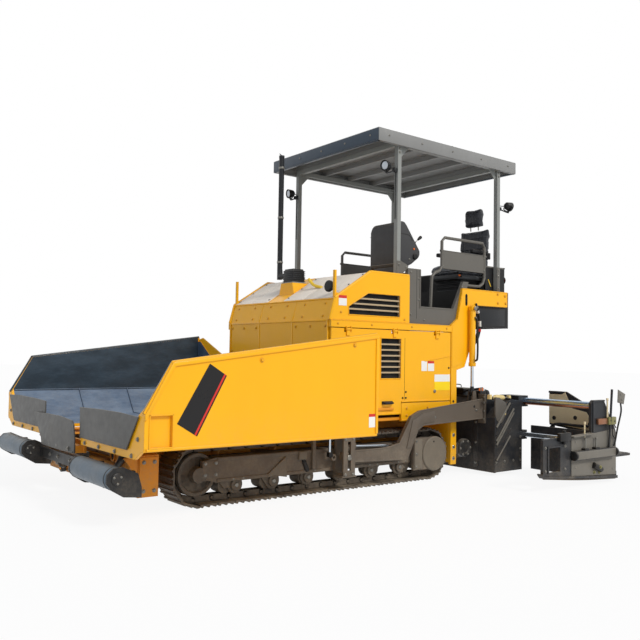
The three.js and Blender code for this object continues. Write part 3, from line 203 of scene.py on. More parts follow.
def coat_grain_group():
    """Height of a sprayed coat's orange peel, with a slow waviness of the sheet under it."""
    takes = [("Scale", "Float", 300.0), ("Wave", "Float", 0.4)]
    tree, given, put = new_group("coat_grain", takes, [("Height", "Float")])
    where = object_place(tree)
    peel = noise(tree, where, given["Scale"], 2.0)
    wave = maths(tree, "MULTIPLY", noise(tree, where, 4.0, 1.0), given["Wave"])
    tree.links.new(maths(tree, "ADD", peel, wave), put["Height"])
    return tree


def between_group():
    """1 inside a box given by two corners in object coordinates, 0 outside it."""
    takes = [("Low", "Vector", (0, 0, 0)), ("High", "Vector", (1, 1, 1))]
    tree, given, put = new_group("inside_box", takes, [("Mask", "Float")])
    where = object_place(tree)
    apart = make(tree, "SeparateXYZ", {0: where}).outputs
    sideways = maths(tree, "ABSOLUTE", apart["Y"])
    parts = (apart["X"], sideways, apart["Z"])
    lows = make(tree, "SeparateXYZ", {0: given["Low"]}).outputs
    highs = make(tree, "SeparateXYZ", {0: given["High"]}).outputs
    mask = 1.0
    for part, low, high in zip(parts, lows, highs):
        over = maths(tree, "GREATER_THAN", part, low)
        under = maths(tree, "LESS_THAN", part, high)
        mask = maths(tree, "MULTIPLY", mask, maths(tree, "MULTIPLY", over, under))
    tree.links.new(mask, put["Mask"])
    return tree


TONE = paint_tone_group()
DUST = road_dust_group()
EDGE = worn_edge_group()
GRAIN = coat_grain_group()
INSIDE = between_group()


def placed(tree, group, values):
    node = tree.nodes.new("ShaderNodeGroup")
    node.node_tree = group
    plug(tree, node, values)
    return node.outputs


ROAD_DUST = colour(150, 138, 120)
PRIMER = colour(96, 92, 86)
BARE_STEEL = colour(138, 136, 132)


class Finish:
    """One material: an uneven colour, dust, worn edges, grain and the Principled shader."""

    def __init__(self, name, hue, rough=0.45, metal=0.0, coat=0.0, coat_rough=0.1, tone=0.08, scale=3.0,
            dust=0.25, reach=0.9, lying=0.2, dust_hue=ROAD_DUST, edge=0.004, wear=0.25, under=PRIMER,
            grain=0.15, peel=260.0, wave=0.5, sheen=0.0, gloss=0.28):
        self.material = bpy.data.materials.new(name)
        self.material.use_nodes = True
        self.material.diffuse_color = hue
        tree = self.material.node_tree
        self.tree = tree
        self.shader = tree.nodes["Principled BSDF"]
        self.hue = placed(tree, TONE, {"Colour": hue, "Amount": tone, "Scale": scale})["Colour"]
        self.settings = {"dust": dust, "reach": reach, "lying": lying, "dust_hue": dust_hue, "edge": edge,
            "wear": wear, "under": under, "grain": grain, "peel": peel, "wave": wave, "rough": rough,
            "scale": scale}
        plug(tree, self.shader, {"Metallic": metal, "Coat Weight": coat, "Coat Roughness": coat_rough,
            "Sheen Weight": sheen, "Specular IOR Level": gloss})

    def patch(self, mask, hue):
        """Another colour where the mask is 1."""
        self.hue = blended(self.tree, mask, self.hue, hue)
        return self

    def done(self):
        tree, held = self.tree, self.settings
        worn = placed(tree, EDGE, {"Radius": held["edge"], "Amount": held["wear"]})
        hue = blended(tree, worn["Mask"], self.hue, held["under"])
        dusty = placed(tree, DUST, {"Colour": hue, "Dust": held["dust_hue"], "Amount": held["dust"],
            "Reach": held["reach"], "Lying": held["lying"]})
        patchy = noise(tree, object_place(tree), held["scale"] * 4.0, 4.0, 0.6)
        rough = ramp(tree, patchy, 0.3, 0.7, held["rough"] * 0.85, min(held["rough"] * 1.2, 1.0))
        rough = maths(tree, "ADD", rough, maths(tree, "MULTIPLY", dusty["Mask"], 0.35), True)
        height = placed(tree, GRAIN, {"Scale": held["peel"], "Wave": held["wave"]})["Height"]
        bump = make(tree, "Bump", {"Strength": held["grain"], "Distance": 0.002, "Height": height,
            "Normal": worn["Normal"]})
        plug(tree, self.shader, {"Base Color": dusty["Colour"], "Roughness": rough,
            "Normal": bump.outputs[0]})
        return self.material


def inside_box(finish, low, high):
    """The mask of a box on both sides of the machine, given about the middle of the tracks."""
    low = (low[0] + SHIFT, low[1], low[2])
    high = (high[0] + SHIFT, high[1], high[2])
    return placed(finish.tree, INSIDE, {"Low": low, "High": high})["Mask"]


# ---------------- finishes

def plain_finishes():
    made = {}

    def put(name, hue, **settings):
        made[name] = Finish(name, hue, **settings).done()

    put("orange_underframe", colour(226, 148, 36), tone=0.12, dust=0.55, reach=0.7, wear=0.3)
    put("track_frame_paint", colour(92, 83, 73), rough=0.5, tone=0.18, dust=0.6, reach=0.7, wear=0.5)
    put("gusset_paint", colour(108, 100, 88), rough=0.5, tone=0.15, dust=0.4, reach=0.6, wear=0.4)
    put("dark_grey_paint", colour(74, 76, 78), tone=0.12, dust=0.12, wear=0.35)
    put("mid_grey_paint", colour(138, 140, 136), tone=0.12, dust=0.1, wear=0.35)
    put("black_paint", colour(28, 30, 33), rough=0.38, tone=0.15, dust=0.2, reach=0.8, wear=0.35)
    put("screed_black", colour(38, 40, 44), rough=0.42, tone=0.2, dust=0.3, reach=0.7, wear=0.5)
    put("station_paint", colour(98, 95, 89), tone=0.12, dust=0.08, wear=0.35)
    put("gate_paint", colour(108, 104, 96), tone=0.2, reach=0.6, wear=0.5)
    put("canopy_paint", colour(132, 132, 130), rough=0.5, tone=0.14, dust=0.05, lying=0.35, wear=0.35)
    # Darker bluish grey of the canopy's front and rear ends: painted shade of the faces turned from the
    # sun.
    put("canopy_trim_painted_shade", colour(58, 70, 82), rough=0.35, tone=0.1, dust=0.0, wear=0.3)
    put("track_steel", colour(86, 78, 70), rough=0.55, metal=0.45, tone=0.3, scale=6.0, dust=0.75,
        reach=0.6, lying=0.4, wear=0.9, under=colour(150, 146, 140), grain=0.3, peel=120.0)
    put("roller_steel", colour(92, 106, 118), rough=0.4, metal=0.55, tone=0.22, scale=5.0, wear=0.5,
        under=BARE_STEEL, grain=0.2, peel=90.0)
    put("flap_sheet", colour(86, 86, 84), rough=0.42, metal=0.3, tone=0.2, scale=4.0, dust=0.2, wear=0.6,
        under=BARE_STEEL, grain=0.2, peel=70.0)
    put("chrome", colour(196, 204, 212), rough=0.12, metal=1.0, tone=0.04, dust=0.0, lying=0.05, wear=0.0,
        grain=0.02)
    put("copper_tube", colour(150, 104, 78), rough=0.35, metal=0.7, tone=0.15, dust=0.1, wear=0.2,
        under=BARE_STEEL)
    put("olive_zinc", colour(128, 124, 78), rough=0.35, metal=0.6, tone=0.2, dust=0.1, wear=0.3,
        under=BARE_STEEL)
    put("bolt_zinc", colour(126, 124, 118), rough=0.35, metal=0.75, tone=0.2, dust=0.15, wear=0.2,
        under=BARE_STEEL)
    put("yellow_bolt", colour(232, 168, 28), rough=0.4, tone=0.1, dust=0.1, wear=0.5, under=BARE_STEEL)
    put("console_plastic", colour(60, 60, 61), rough=0.5, tone=0.1, dust=0.1, wear=0.15, grain=0.25,
        peel=500.0)
    put("rubber", colour(34, 34, 35), rough=0.6, tone=0.2, dust=0.15, wear=0.0, grain=0.25, peel=400.0)
    put("grip_rubber", colour(26, 26, 28), rough=0.55, tone=0.15, dust=0.05, wear=0.0, grain=0.3)
    put("white_hose", colour(214, 212, 204), rough=0.5, tone=0.12, dust=0.1, wear=0.0)
    put("red_paint", colour(190, 36, 34), rough=0.35, dust=0.05, wear=0.1)
    put("decal_white", colour(232, 232, 228), rough=0.35, tone=0.04, dust=0.05, wear=0.0, edge=0.001)
    put("decal_yellow", colour(250, 214, 24), rough=0.35, tone=0.04, dust=0.05, wear=0.0, edge=0.001)
    put("decal_red", colour(206, 52, 44), rough=0.35, tone=0.04, dust=0.05, wear=0.0, edge=0.001)
    put("decal_black", colour(28, 27, 28), rough=0.3, tone=0.06, dust=0.03, wear=0.0, edge=0.001)
    put("slope_plate", colour(236, 226, 212), rough=0.5, tone=0.12, dust=0.05, wear=0.3)
    put("bracket_paint", colour(88, 84, 78), rough=0.5, tone=0.2, dust=0.3, reach=1.0, wear=0.6)
    put("turnbuckle_paint", colour(226, 204, 142), tone=0.2, dust=0.15, wear=0.3)
    put("cream_panel", colour(222, 206, 168), tone=0.1, dust=0.15)
    # Near-black for black details and joints, and as painted shade behind vents and inside holes.
    put("black_detail_and_painted_shade", colour(16, 16, 17), rough=0.7, tone=0.2, dust=0.0, wear=0.0)
    put("handle_black", colour(24, 24, 25), tone=0.1, dust=0.1, wear=0.2)
    put("dial_white", colour(226, 228, 226), rough=0.3, tone=0.02, dust=0.0, wear=0.0, edge=0.001)
    put("orange_cap", colour(226, 108, 30), rough=0.4, dust=0.05, wear=0.1)
    put("strap_yellow", colour(240, 200, 60), rough=0.6, tone=0.1, dust=0.05, wear=0.0)
    return made


def machine_yellow():
    """The body's yellow enamel under a thin clear coat, with the vents' slats left in bronze."""
    finish = Finish("machine_yellow", colour(246, 178, 8), rough=0.36, coat=0.12, coat_rough=0.08,
        tone=0.07, scale=1.6, dust=0.22, reach=1.1, lying=0.12, edge=0.005, wear=0.35, grain=0.08,
        peel=240.0, wave=1.2)
    bronze = colour(178, 158, 126)
    for low, high in (((-0.932, 0.88, 1.662), (-0.258, 0.914, 1.878)), ((-0.955, 0.88, 1.043),
            (-0.682, 0.913, 1.442))):
        finish.patch(inside_box(finish, low, high), bronze)
    # The auger's bearing and its bracket under the rear frame are black.
    finish.patch(inside_box(finish, (-2.04, 0.88, 0.15), (-1.792, 0.935, 0.42)), colour(30, 32, 35))
    return finish.done()


def hopper_yellow():
    """Yellow outside, worn dark plate on the walls inside, and the same steel on the floor painted brighter
    and bluish as painted sky light.
    """
    finish = Finish("hopper_yellow", colour(246, 178, 8), rough=0.36, coat=0.12, coat_rough=0.08,
        tone=0.07, scale=1.6, dust=0.2, reach=1.0, lying=0.15, edge=0.006, wear=0.35, grain=0.08,
        peel=240.0, wave=1.2)
    tree = finish.tree
    where = make(tree, "SeparateXYZ", {0: object_place(tree)}).outputs
    sideways = maths(tree, "ABSOLUTE", where["Y"])
    rise = maths(tree, "SUBTRACT", where["Z"], 0.605)
    fold_line = maths(tree, "MULTIPLY_ADD", rise, 0.784)
    fold_line.node.inputs[2].default_value = 1.336
    wall_line = maths(tree, "MULTIPLY_ADD", rise, 0.0526)
    wall_line.node.inputs[2].default_value = 1.5226
    line = maths(tree, "MINIMUM", fold_line, wall_line)
    mask = maths(tree, "LESS_THAN", sideways, line)
    mask = maths(tree, "MULTIPLY", mask, maths(tree, "GREATER_THAN", where["Z"], 0.6035))
    mask = maths(tree, "MULTIPLY", mask, maths(tree, "LESS_THAN", where["X"], SHIFT + 2.1142))
    mask = maths(tree, "MULTIPLY", mask, maths(tree, "GREATER_THAN", where["X"], SHIFT + 0.0012))
    scuff = ramp(tree, noise(tree, object_place(tree), 7.0, 6.0, 0.7, (0.35, 1, 1)), 0.4, 0.62)
    # Faces that look up take the floor's lighter, bluer tone, which is painted sky light on the same steel
    # as the walls; faces that look forward take the apron's tone, between the two.
    facing = make(tree, "SeparateXYZ", {0: make(tree, "NewGeometry").outputs["Normal"]}).outputs
    sky_lit_share = ramp(tree, facing["Z"], 0.25, 0.75)
    forward = ramp(tree, facing["X"], 0.4, 0.8)
    wall = blended(tree, scuff, colour(38, 50, 60), colour(54, 68, 80))
    floor = blended(tree, scuff, colour(84, 106, 134), colour(116, 136, 160))
    apron = blended(tree, scuff, colour(66, 82, 102), colour(84, 100, 120))
    steel = blended(tree, sky_lit_share, blended(tree, forward, wall, apron), floor)
    finish.patch(mask, steel)
    return finish.done()


def bead_paint():
    """The hopper's edge bead: yellow on its outer side, dark like the worn walls on its inner one."""
    finish = Finish("bead_paint", colour(246, 178, 8), rough=0.36, coat=0.12, tone=0.07, dust=0.1, wear=0.3)
    finish.patch(inside_box(finish, (-0.1, 0.0, 0.4), (2.3, 1.584, 1.7)), colour(40, 50, 58))
    return finish.done()


def slide_chrome():
    """The extension's slide tube: bright on top, copper-brown on its lower half."""
    finish = Finish("slide_chrome", colour(166, 190, 216), rough=0.18, metal=0.9, tone=0.06, dust=0.0,
        wear=0.0, grain=0.02)
    finish.patch(inside_box(finish, (-2.66, 0.0, 0.7), (-2.54, 2.1, 0.781)), colour(150, 96, 66))
    return finish.done()


def seat_vinyl(name, wrapped):
    """Dark seat vinyl with a fine leather grain; the wrapped one has a creased clear film over it, with
    painted highlights along its creases.
    """
    material = bpy.data.materials.new(name)
    material.use_nodes = True
    tree = material.node_tree
    shader = tree.nodes["Principled BSDF"]
    where = object_place(tree)
    hue = placed(tree, TONE, {"Colour": colour(34, 37, 44), "Amount": 0.15, "Scale": 6.0})["Colour"]
    cells = make(tree, "TexVoronoi", {"Vector": where, "Scale": 420.0}, feature="F1").outputs["Distance"]
    bump = make(tree, "Bump", {"Strength": 0.25, "Distance": 0.001, "Height": cells})
    rough = ramp(tree, noise(tree, where, 30.0, 3.0), 0.3, 0.7, 0.42, 0.6)
    plug(tree, shader, {"Base Color": hue, "Roughness": rough})
    if wrapped:
        folds = make(tree, "TexNoise", {"Vector": where, "Scale": 26.0, "Detail": 5.0, "Roughness": 0.6,
            "Distortion": 1.6}).outputs["Fac"]
        crease = maths(tree, "ABSOLUTE", maths(tree, "SUBTRACT", folds, 0.5))
        film = make(tree, "Bump", {"Strength": 0.9, "Distance": 0.02, "Height": crease,
            "Normal": bump.outputs[0]})
        # Painted highlight: the base colour turns pale bluish grey along the film's creases.
        painted_crease_glint = ramp(tree, crease, 0.0, 0.06, 0.55, 0.0)
        hue = blended(tree, maths(tree, "MULTIPLY", painted_crease_glint, 0.6), hue, colour(150, 158, 170))
        plug(tree, shader, {"Base Color": hue, "Normal": film.outputs[0], "Coat Weight": 0.8,
            "Coat Roughness": 0.12})
    else:
        plug(tree, shader, {"Normal": bump.outputs[0], "Sheen Weight": 0.15})
    return material


def lamp_lens():
    """A ribbed lens drawn as one opaque pale coat: its paleness is a painted reflection of the bright bowl
    behind the glass, and the ribs are darker painted bands.
    """
    finish = Finish("lamp_lens", colour(214, 220, 224), rough=0.12, coat=0.6, tone=0.05, dust=0.05,
        wear=0.0, grain=0.0)
    tree = finish.tree
    # Painted shading of the ribs: darker bands across the lens.
    ribs = make(tree, "TexWave", {"Vector": object_place(tree), "Scale": 22.0}, bands_direction="Y")
    finish.patch(ramp(tree, ribs.outputs["Fac"], 0.4, 0.6, 0.0, 0.5), colour(168, 176, 184))
    return finish.done()


FINISHES = plain_finishes()
FINISHES["machine_yellow"] = machine_yellow()
FINISHES["hopper_yellow"] = hopper_yellow()
FINISHES["bead_paint"] = bead_paint()
FINISHES["slide_chrome"] = slide_chrome()
FINISHES["wrapped_vinyl"] = seat_vinyl("wrapped_vinyl", True)
FINISHES["seat_vinyl"] = seat_vinyl("seat_vinyl", False)
FINISHES["lamp_lens"] = lamp_lens()
FINISHES["tread_plate"] = Finish("tread_plate", colour(96, 97, 96), metal=0.35, tone=0.15, dust=0.2,
    lying=0.3, wear=0.5, under=BARE_STEEL).done()

# Each CAD node's finish. The pieces that stand in for a node bring their own.
NODE_FINISHES = {
    "machine_yellow": ("front_bulkhead", "hood", "side_door", "side_skirt", "rear_frame", "lift_cylinder"),
    "hopper_yellow": ("hopper_wing",),
    "orange_underframe": ("chassis",),
    "track_frame_paint": ("track_frame", "tow_arm"),
    "track_steel": ("track", "conveyor", "auger"),
    "roller_steel": ("push_roller",),
    "flap_sheet": ("wing_flap", "centre_flap"),
    "station_paint": ("operator_platform",),
    "dark_grey_paint": ("engine", "wing_cylinder", "console", "seat_base"),
    "mid_grey_paint": ("canopy_frame",),
    "black_paint": ("roller_beam", "exhaust_stack"),
    "handle_black": ("rear_cabinet",),
    "screed_black": ("screed_frame", "screed_extension"),
    "canopy_paint": ("canopy_roof",),
    "chrome": ("wing_rod", "lift_rod"),
    "seat_vinyl": ("seat_cushion", "seat_back"),
}


def finish_nodes():
    for finish, stems in NODE_FINISHES.items():
        for name, node in NODES.items():
            stem = name.removesuffix("_left").removesuffix("_right")
            if stem in stems:
                node.data.materials.clear()
                node.data.materials.append(FINISHES[finish])


finish_nodes()


# ---------------- light and floor

def seen_directly(tree):
    """1 for rays that carry a picture, straight, mirrored or through glass, 0 for light bounced about."""
    rays = make(tree, "LightPath").outputs
    seen = maths(tree, "MAXIMUM", rays["Is Camera Ray"], rays["Is Glossy Ray"])
    return maths(tree, "MAXIMUM", seen, rays["Is Transmission Ray"])


def light_the_yard():
    """One soft sun from the machine's left, an even sky, and a pale floor that fades to white."""
    bpy.context.scene.view_settings.view_transform = "Standard"
    world = bpy.data.worlds.new("sky")
    bpy.context.scene.world = world
    world.use_nodes = True
    tree = world.node_tree
    background = tree.nodes["Background"]
    seen = seen_directly(tree)
    plug(tree, background, {"Color": blended(tree, seen, colour(196, 200, 208), (1, 1, 1, 1))})
    sun = bpy.data.lights.new("sun", "SUN")
    sun.energy = 2.0
    sun.angle = math.radians(14)
    sun.color = (1.0, 0.97, 0.92)
    lamp = bpy.data.objects.new("sun", sun)
    lamp.rotation_euler = Vector((-0.15, 0.75, 0.66)).to_track_quat("Z", "Y").to_euler()
    bpy.context.scene.collection.objects.link(lamp)

    part = bmesh.new()
    bmesh.ops.create_grid(part, x_segments=1, y_segments=1, size=60.0)
    mesh = bpy.data.meshes.new("floor")
    part.to_mesh(mesh)
    part.free()
    floor = bpy.data.objects.new("floor", mesh)
    bpy.context.scene.collection.objects.link(floor)
    material = bpy.data.materials.new("floor")
    material.use_nodes = True
    tree = material.node_tree
    shader = tree.nodes["Principled BSDF"]
    plug(tree, shader, {"Base Color": (0.8, 0.8, 0.79, 1), "Roughness": 0.9})
    white = make(tree, "Emission", {"Color": (1, 1, 1, 1), "Strength": 1.0})
    seen = seen_directly(tree)
    both = make(tree, "MixShader", {0: maths(tree, "MULTIPLY", seen, 0.9), 1: shader.outputs[0],
        2: white.outputs[0]})
    tree.links.new(both.outputs[0], tree.nodes["Material Output"].inputs["Surface"])
    mesh.materials.append(material)


light_the_yard()


# ---------------- shapes

def soften(part, width, segments=2, edges=None, angle=25):
    """Rounds the hard edges of a shape."""
    if width <= 0:
        return part
    hard = [e for e in (edges or part.edges) if e.is_manifold and e.calc_face_angle() > math.radians(angle)]
    if hard:
        bmesh.ops.bevel(part, geom=hard, offset=width, offset_type="OFFSET", segments=segments,
            profile=0.5, affect="EDGES", clamp_overlap=True, material=-1)
    return part


def block(x, y, z, round_by=0.004, segments=2):
    """A bar between two values of X, two of Y and two of Z, its edges rounded."""
    part = bmesh.new()
    bmesh.ops.create_cube(part, size=1.0)
    size = Vector([abs(span[1] - span[0]) for span in (x, y, z)])
    middle = Vector([(span[0] + span[1]) / 2 for span in (x, y, z)])
    bmesh.ops.scale(part, vec=size, verts=part.verts)
    bmesh.ops.translate(part, vec=middle, verts=part.verts)
    return soften(part, min(round_by, 0.3 * min(size)), segments)


def standing_on(start, end):
    """The place and turn that carry an upright shape onto the line from start to end."""
    start, end = Vector(start), Vector(end)
    turn = (end - start).to_track_quat("Z", "Y").to_matrix().to_4x4()
    return Matrix.Translation((start + end) / 2) @ turn


def rod(start, end, radius, far_radius=None, sides=18, round_by=0.0):
    """A round or conical bar between two points."""
    part = bmesh.new()
    length = (Vector(end) - Vector(start)).length
    bmesh.ops.create_cone(part, cap_ends=True, cap_tris=False, segments=sides, radius1=radius,
        radius2=radius if far_radius is None else far_radius, depth=length, matrix=standing_on(start, end))
    return soften(part, round_by, 2, angle=60)


def beading(line, y, radius):
    """Round weld beads along a line of X and Z, on an upright face."""
    return [rod((a[0], y, a[1]), (b[0], y, b[1]), radius, sides=8) for a, b in zip(line, line[1:])]


def ring(start, end, radius, bore, sides=24, round_by=0.002):
    """A collar or pipe between two points, with a round hole through it."""
    return turned([(0, bore), (0, radius), (1, radius), (1, bore)], start, end, sides, round_by, True)


def turned(profile, start, end, sides=28, round_by=0.0, closed=False):
    """A profile of (share of the way from start to end, radius) spun about that line."""
    start, end = Vector(start), Vector(end)
    along = end - start
    across = along.orthogonal().normalized()
    part = bmesh.new()
    verts = [part.verts.new(start + along * share + across * radius) for share, radius in profile]
    pairs = list(zip(verts, verts[1:])) + ([(verts[-1], verts[0])] if closed else [])
    edges = [part.edges.new(pair) for pair in pairs]
    bmesh.ops.spin(part, geom=verts + edges, cent=start, axis=along.normalized(), angle=2 * math.pi,
        steps=sides, use_merge=True)
    bmesh.ops.remove_doubles(part, verts=part.verts, dist=1e-5)
    bmesh.ops.recalc_face_normals(part, faces=part.faces)
    return soften(part, round_by, 2, angle=50)


PLANES = {
    "x": lambda u, v, at: (at, u, v),
    "y": lambda u, v, at: (u, at, v),
    "z": lambda u, v, at: (u, v, at),
}


def plate(points, axis, near, far, round_by=0.002, segments=1):
    """A flat outline (Y and Z across X, X and Z across Y, X and Y across Z) given a thickness."""
    part = bmesh.new()
    lay = PLANES[axis]
    face = part.faces.new([part.verts.new(lay(u, v, near)) for u, v in points])
    grown = bmesh.ops.extrude_face_region(part, geom=[face])["geom"]
    moved = [v for v in grown if isinstance(v, bmesh.types.BMVert)]
    bmesh.ops.translate(part, vec=Vector(lay(0, 0, far - near)), verts=moved)
    bmesh.ops.recalc_face_normals(part, faces=part.faces)
    return soften(part, min(round_by, 0.3 * abs(far - near)), segments)


def oblong(middle, length, width, slope, axis, near, far, round_by=0.001):
    """A flat strip about a middle point, turned by a slope in degrees in its own plane."""
    turn = math.radians(slope)
    corners = []
    for u, v in ((-0.5, -0.5), (0.5, -0.5), (0.5, 0.5), (-0.5, 0.5)):
        a, b = u * length, v * width
        corners.append((middle[0] + a * math.cos(turn) - b * math.sin(turn),
            middle[1] + a * math.sin(turn) + b * math.cos(turn)))
    return plate(corners, axis, near, far, round_by)


def smooth_path(points, steps):
    """A curve through the points, in short straight steps."""
    points = [Vector(p) for p in points]
    if len(points) == 2:
        return points
    held = [2 * points[0] - points[1]] + points + [2 * points[-1] - points[-2]]
    path = []
    for before, a, b, after in zip(held, held[1:], held[2:], held[3:]):
        for step in range(steps):
            t = step / steps
            bend = 2 * before - 5 * a + 4 * b - after
            twist = 3 * a - before - 3 * b + after
            path.append(0.5 * (2 * a + (b - before) * t + bend * t * t + twist * t ** 3))
    return path + [points[-1]]


def hose(points, radius, sides=10, steps=6):
    """A round tube along a smooth path, made by carrying a ring from step to step."""
    path = smooth_path(points, steps)
    ways = [(after - before).normalized() for before, after in zip(path, path[1:])]
    heads = [ways[0]] + [(a + b).normalized() for a, b in zip(ways, ways[1:])] + [ways[-1]]
    turn = heads[0].to_track_quat("Z", "Y")
    place = Matrix.Translation(path[0]) @ turn.to_matrix().to_4x4()
    part = bmesh.new()
    ring_verts = bmesh.ops.create_circle(part, cap_ends=False, segments=sides, radius=radius,
        matrix=place)["verts"]
    edges = list(part.edges)
    first = list(edges)
    for point, before, head in zip(path[1:], heads, heads[1:]):
        turn = before.rotation_difference(head) @ turn
        grown = bmesh.ops.extrude_edge_only(part, edges=edges)["geom"]
        ring_verts = [v for v in grown if isinstance(v, bmesh.types.BMVert)]
        edges = [e for e in grown if isinstance(e, bmesh.types.BMEdge)]
        fresh = Matrix.Translation(point) @ turn.to_matrix().to_4x4()
        bmesh.ops.transform(part, matrix=fresh @ place.inverted(), verts=ring_verts)
        place = fresh
    bmesh.ops.contextual_create(part, geom=first)
    bmesh.ops.contextual_create(part, geom=edges)
    bmesh.ops.recalc_face_normals(part, faces=part.faces)
    return part


def bolt(at, out, size=0.011):
    """A hexagon head on its washer, looking out from a face. Returns both shapes."""
    at, out = Vector(at), Vector(out).normalized()
    return [rod(at - out * 0.002, at + out * 0.004, size * 1.45, sides=12),
        rod(at, at + out * (0.004 + size * 0.7), size, size * 0.92, sides=6)]


def bolts(places, out, size=0.011):
    return [shape for at in places for shape in bolt(at, out, size)]


def cap(at, out, radius, height, sides=20):
    """A low domed cap standing out from a face."""
    at = Vector(at)
    profile = [(0, 0), (0, radius), (0.55, radius), (0.9, radius * 0.8), (1, 0)]
    return turned(profile, at, at + Vector(out).normalized() * height, sides)


class Piece:
    """One object of the finished machine, gathered from shapes that each bring their own finish."""

    def __init__(self, name, body, slot, side="", replaces=()):
        self.name = f"{name}_{side}" if side else name
        self.body = body
        self.slot = slot
        self.side = side
        self.stands_for = replaces
        self.shape = bmesh.new()
        self.finishes = []

    def add(self, finish, *parts):
        """Joins shapes, or lists of shapes, to the piece in one finish."""
        if finish not in self.finishes:
            self.finishes.append(finish)
        number = self.finishes.index(finish)
        for part in parts:
            if isinstance(part, (list, tuple)):
                self.add(finish, *part)
                continue
            for face in part.faces:
                face.material_index = number
            mesh = bpy.data.meshes.new("part")
            part.to_mesh(mesh)
            part.free()
            self.shape.from_mesh(mesh)
            bpy.data.meshes.remove(mesh)
        return self

    def bolted(self, places, way, size=0.011):
        """Zinc bolts at these places, all looking one way."""
        return self.add("bolt_zinc", bolts(places, way, size))

    def done(self, smooth=32):
        bmesh.ops.translate(self.shape, vec=(SHIFT, 0, 0), verts=self.shape.verts)
        if self.side == "right":
            bmesh.ops.scale(self.shape, vec=(1, -1, 1), verts=self.shape.verts)
            bmesh.ops.reverse_faces(self.shape, faces=self.shape.faces)
        mesh = bpy.data.meshes.new(self.name)
        self.shape.to_mesh(mesh)
        self.shape.free()
        for finish in self.finishes:
            mesh.materials.append(FINISHES[finish])
        mesh.shade_smooth()
        mesh.set_sharp_from_angle(angle=math.radians(smooth))
        made = bpy.data.objects.new(self.name, mesh)
        bpy.context.scene.collection.objects.link(made)
        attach(made, self.body)
        if self.stands_for:
            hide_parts(*self.stands_for)
        return made


# ---------------- tracks and their frames

IDLER_X, SPROCKET_X, WHEEL_Z, TRACK_R = 1.325, -1.345, 0.262, 0.262
TRACK_IN, TRACK_OUT = 0.648, 0.948
ROUND_PITCH = 0.1659


def track_stations():
    """The place and outward direction of each shoe round the loop, with the step to the next one."""
    straight = IDLER_X - SPROCKET_X
    pitch = straight / 16
    stations = []
    for i in range(16):
        x = SPROCKET_X + (i + 0.5) * pitch
        stations.append((x, WHEEL_Z - TRACK_R, math.pi, pitch))
        stations.append((x, WHEEL_Z + TRACK_R, 0.0, pitch))
    for i in range(5):
        angle = math.pi * (i + 0.5) / 5
        for centre, lean in ((IDLER_X, angle), (SPROCKET_X, -angle)):
            stations.append((centre + TRACK_R * math.sin(lean), WHEEL_Z + TRACK_R * math.cos(lean), lean,
                TRACK_R * math.pi / 5))
    return stations


def shoe_shapes(pitch, link_pitch):
    """One shoe about its outer face, with three grousers, its bolts and the two chain links."""
    half = pitch / 2 - 0.004
    outline = [(-half, -0.026), (half, -0.026), (half, -0.013)]
    for middle in (half - 0.018, 0.0, -half + 0.018):
        outline += [(middle + 0.011, -0.012), (middle + 0.006, 0.0), (middle - 0.006, 0.0),
            (middle - 0.011, -0.012)]
    outline += [(-half, -0.013)]
    steel = [plate(outline, "y", TRACK_IN, TRACK_OUT, 0.0)]
    for y in (TRACK_IN + 0.04, TRACK_OUT - 0.04):
        steel.append(rod((-half + 0.045, y, -0.013), (-half + 0.045, y, -0.005), 0.01, sides=6))
        steel.append(rod((half - 0.045, y, -0.013), (half - 0.045, y, -0.005), 0.01, sides=6))
    for y in (0.742, 0.826):
        reach = link_pitch / 2
        link = [(-reach - 0.02, -0.072), (-reach - 0.006, -0.079), (reach + 0.006, -0.079),
            (reach + 0.02, -0.072), (reach + 0.02, -0.044), (reach, -0.03), (-reach, -0.03),
            (-reach - 0.02, -0.044)]
        steel.append(plate(link, "y", y - 0.011, y + 0.011, 0.0))
    steel.append(rod((link_pitch / 2, 0.725, -0.055), (link_pitch / 2, 0.843, -0.055), 0.014, sides=10))
    return steel


def tracks(side):
    piece = Piece("track_chain", "tractor", "worn_steel", side, (f"track_{side}",))
    for x, z, lean, pitch in track_stations():
        place = Matrix.Translation((x, 0, z)) @ Matrix.Rotation(lean, 4, "Y")
        # The links are shorter where the chain bends round a wheel.
        link_pitch = pitch if pitch > ROUND_PITCH else 0.112
        for part in shoe_shapes(pitch, link_pitch):
            bmesh.ops.transform(part, matrix=place, verts=part.verts)
            piece.add("track_steel", part)
    piece.done(25)


ROLLER_XS = [-0.01 + 0.3856 * (i - 2.5) for i in range(6)]


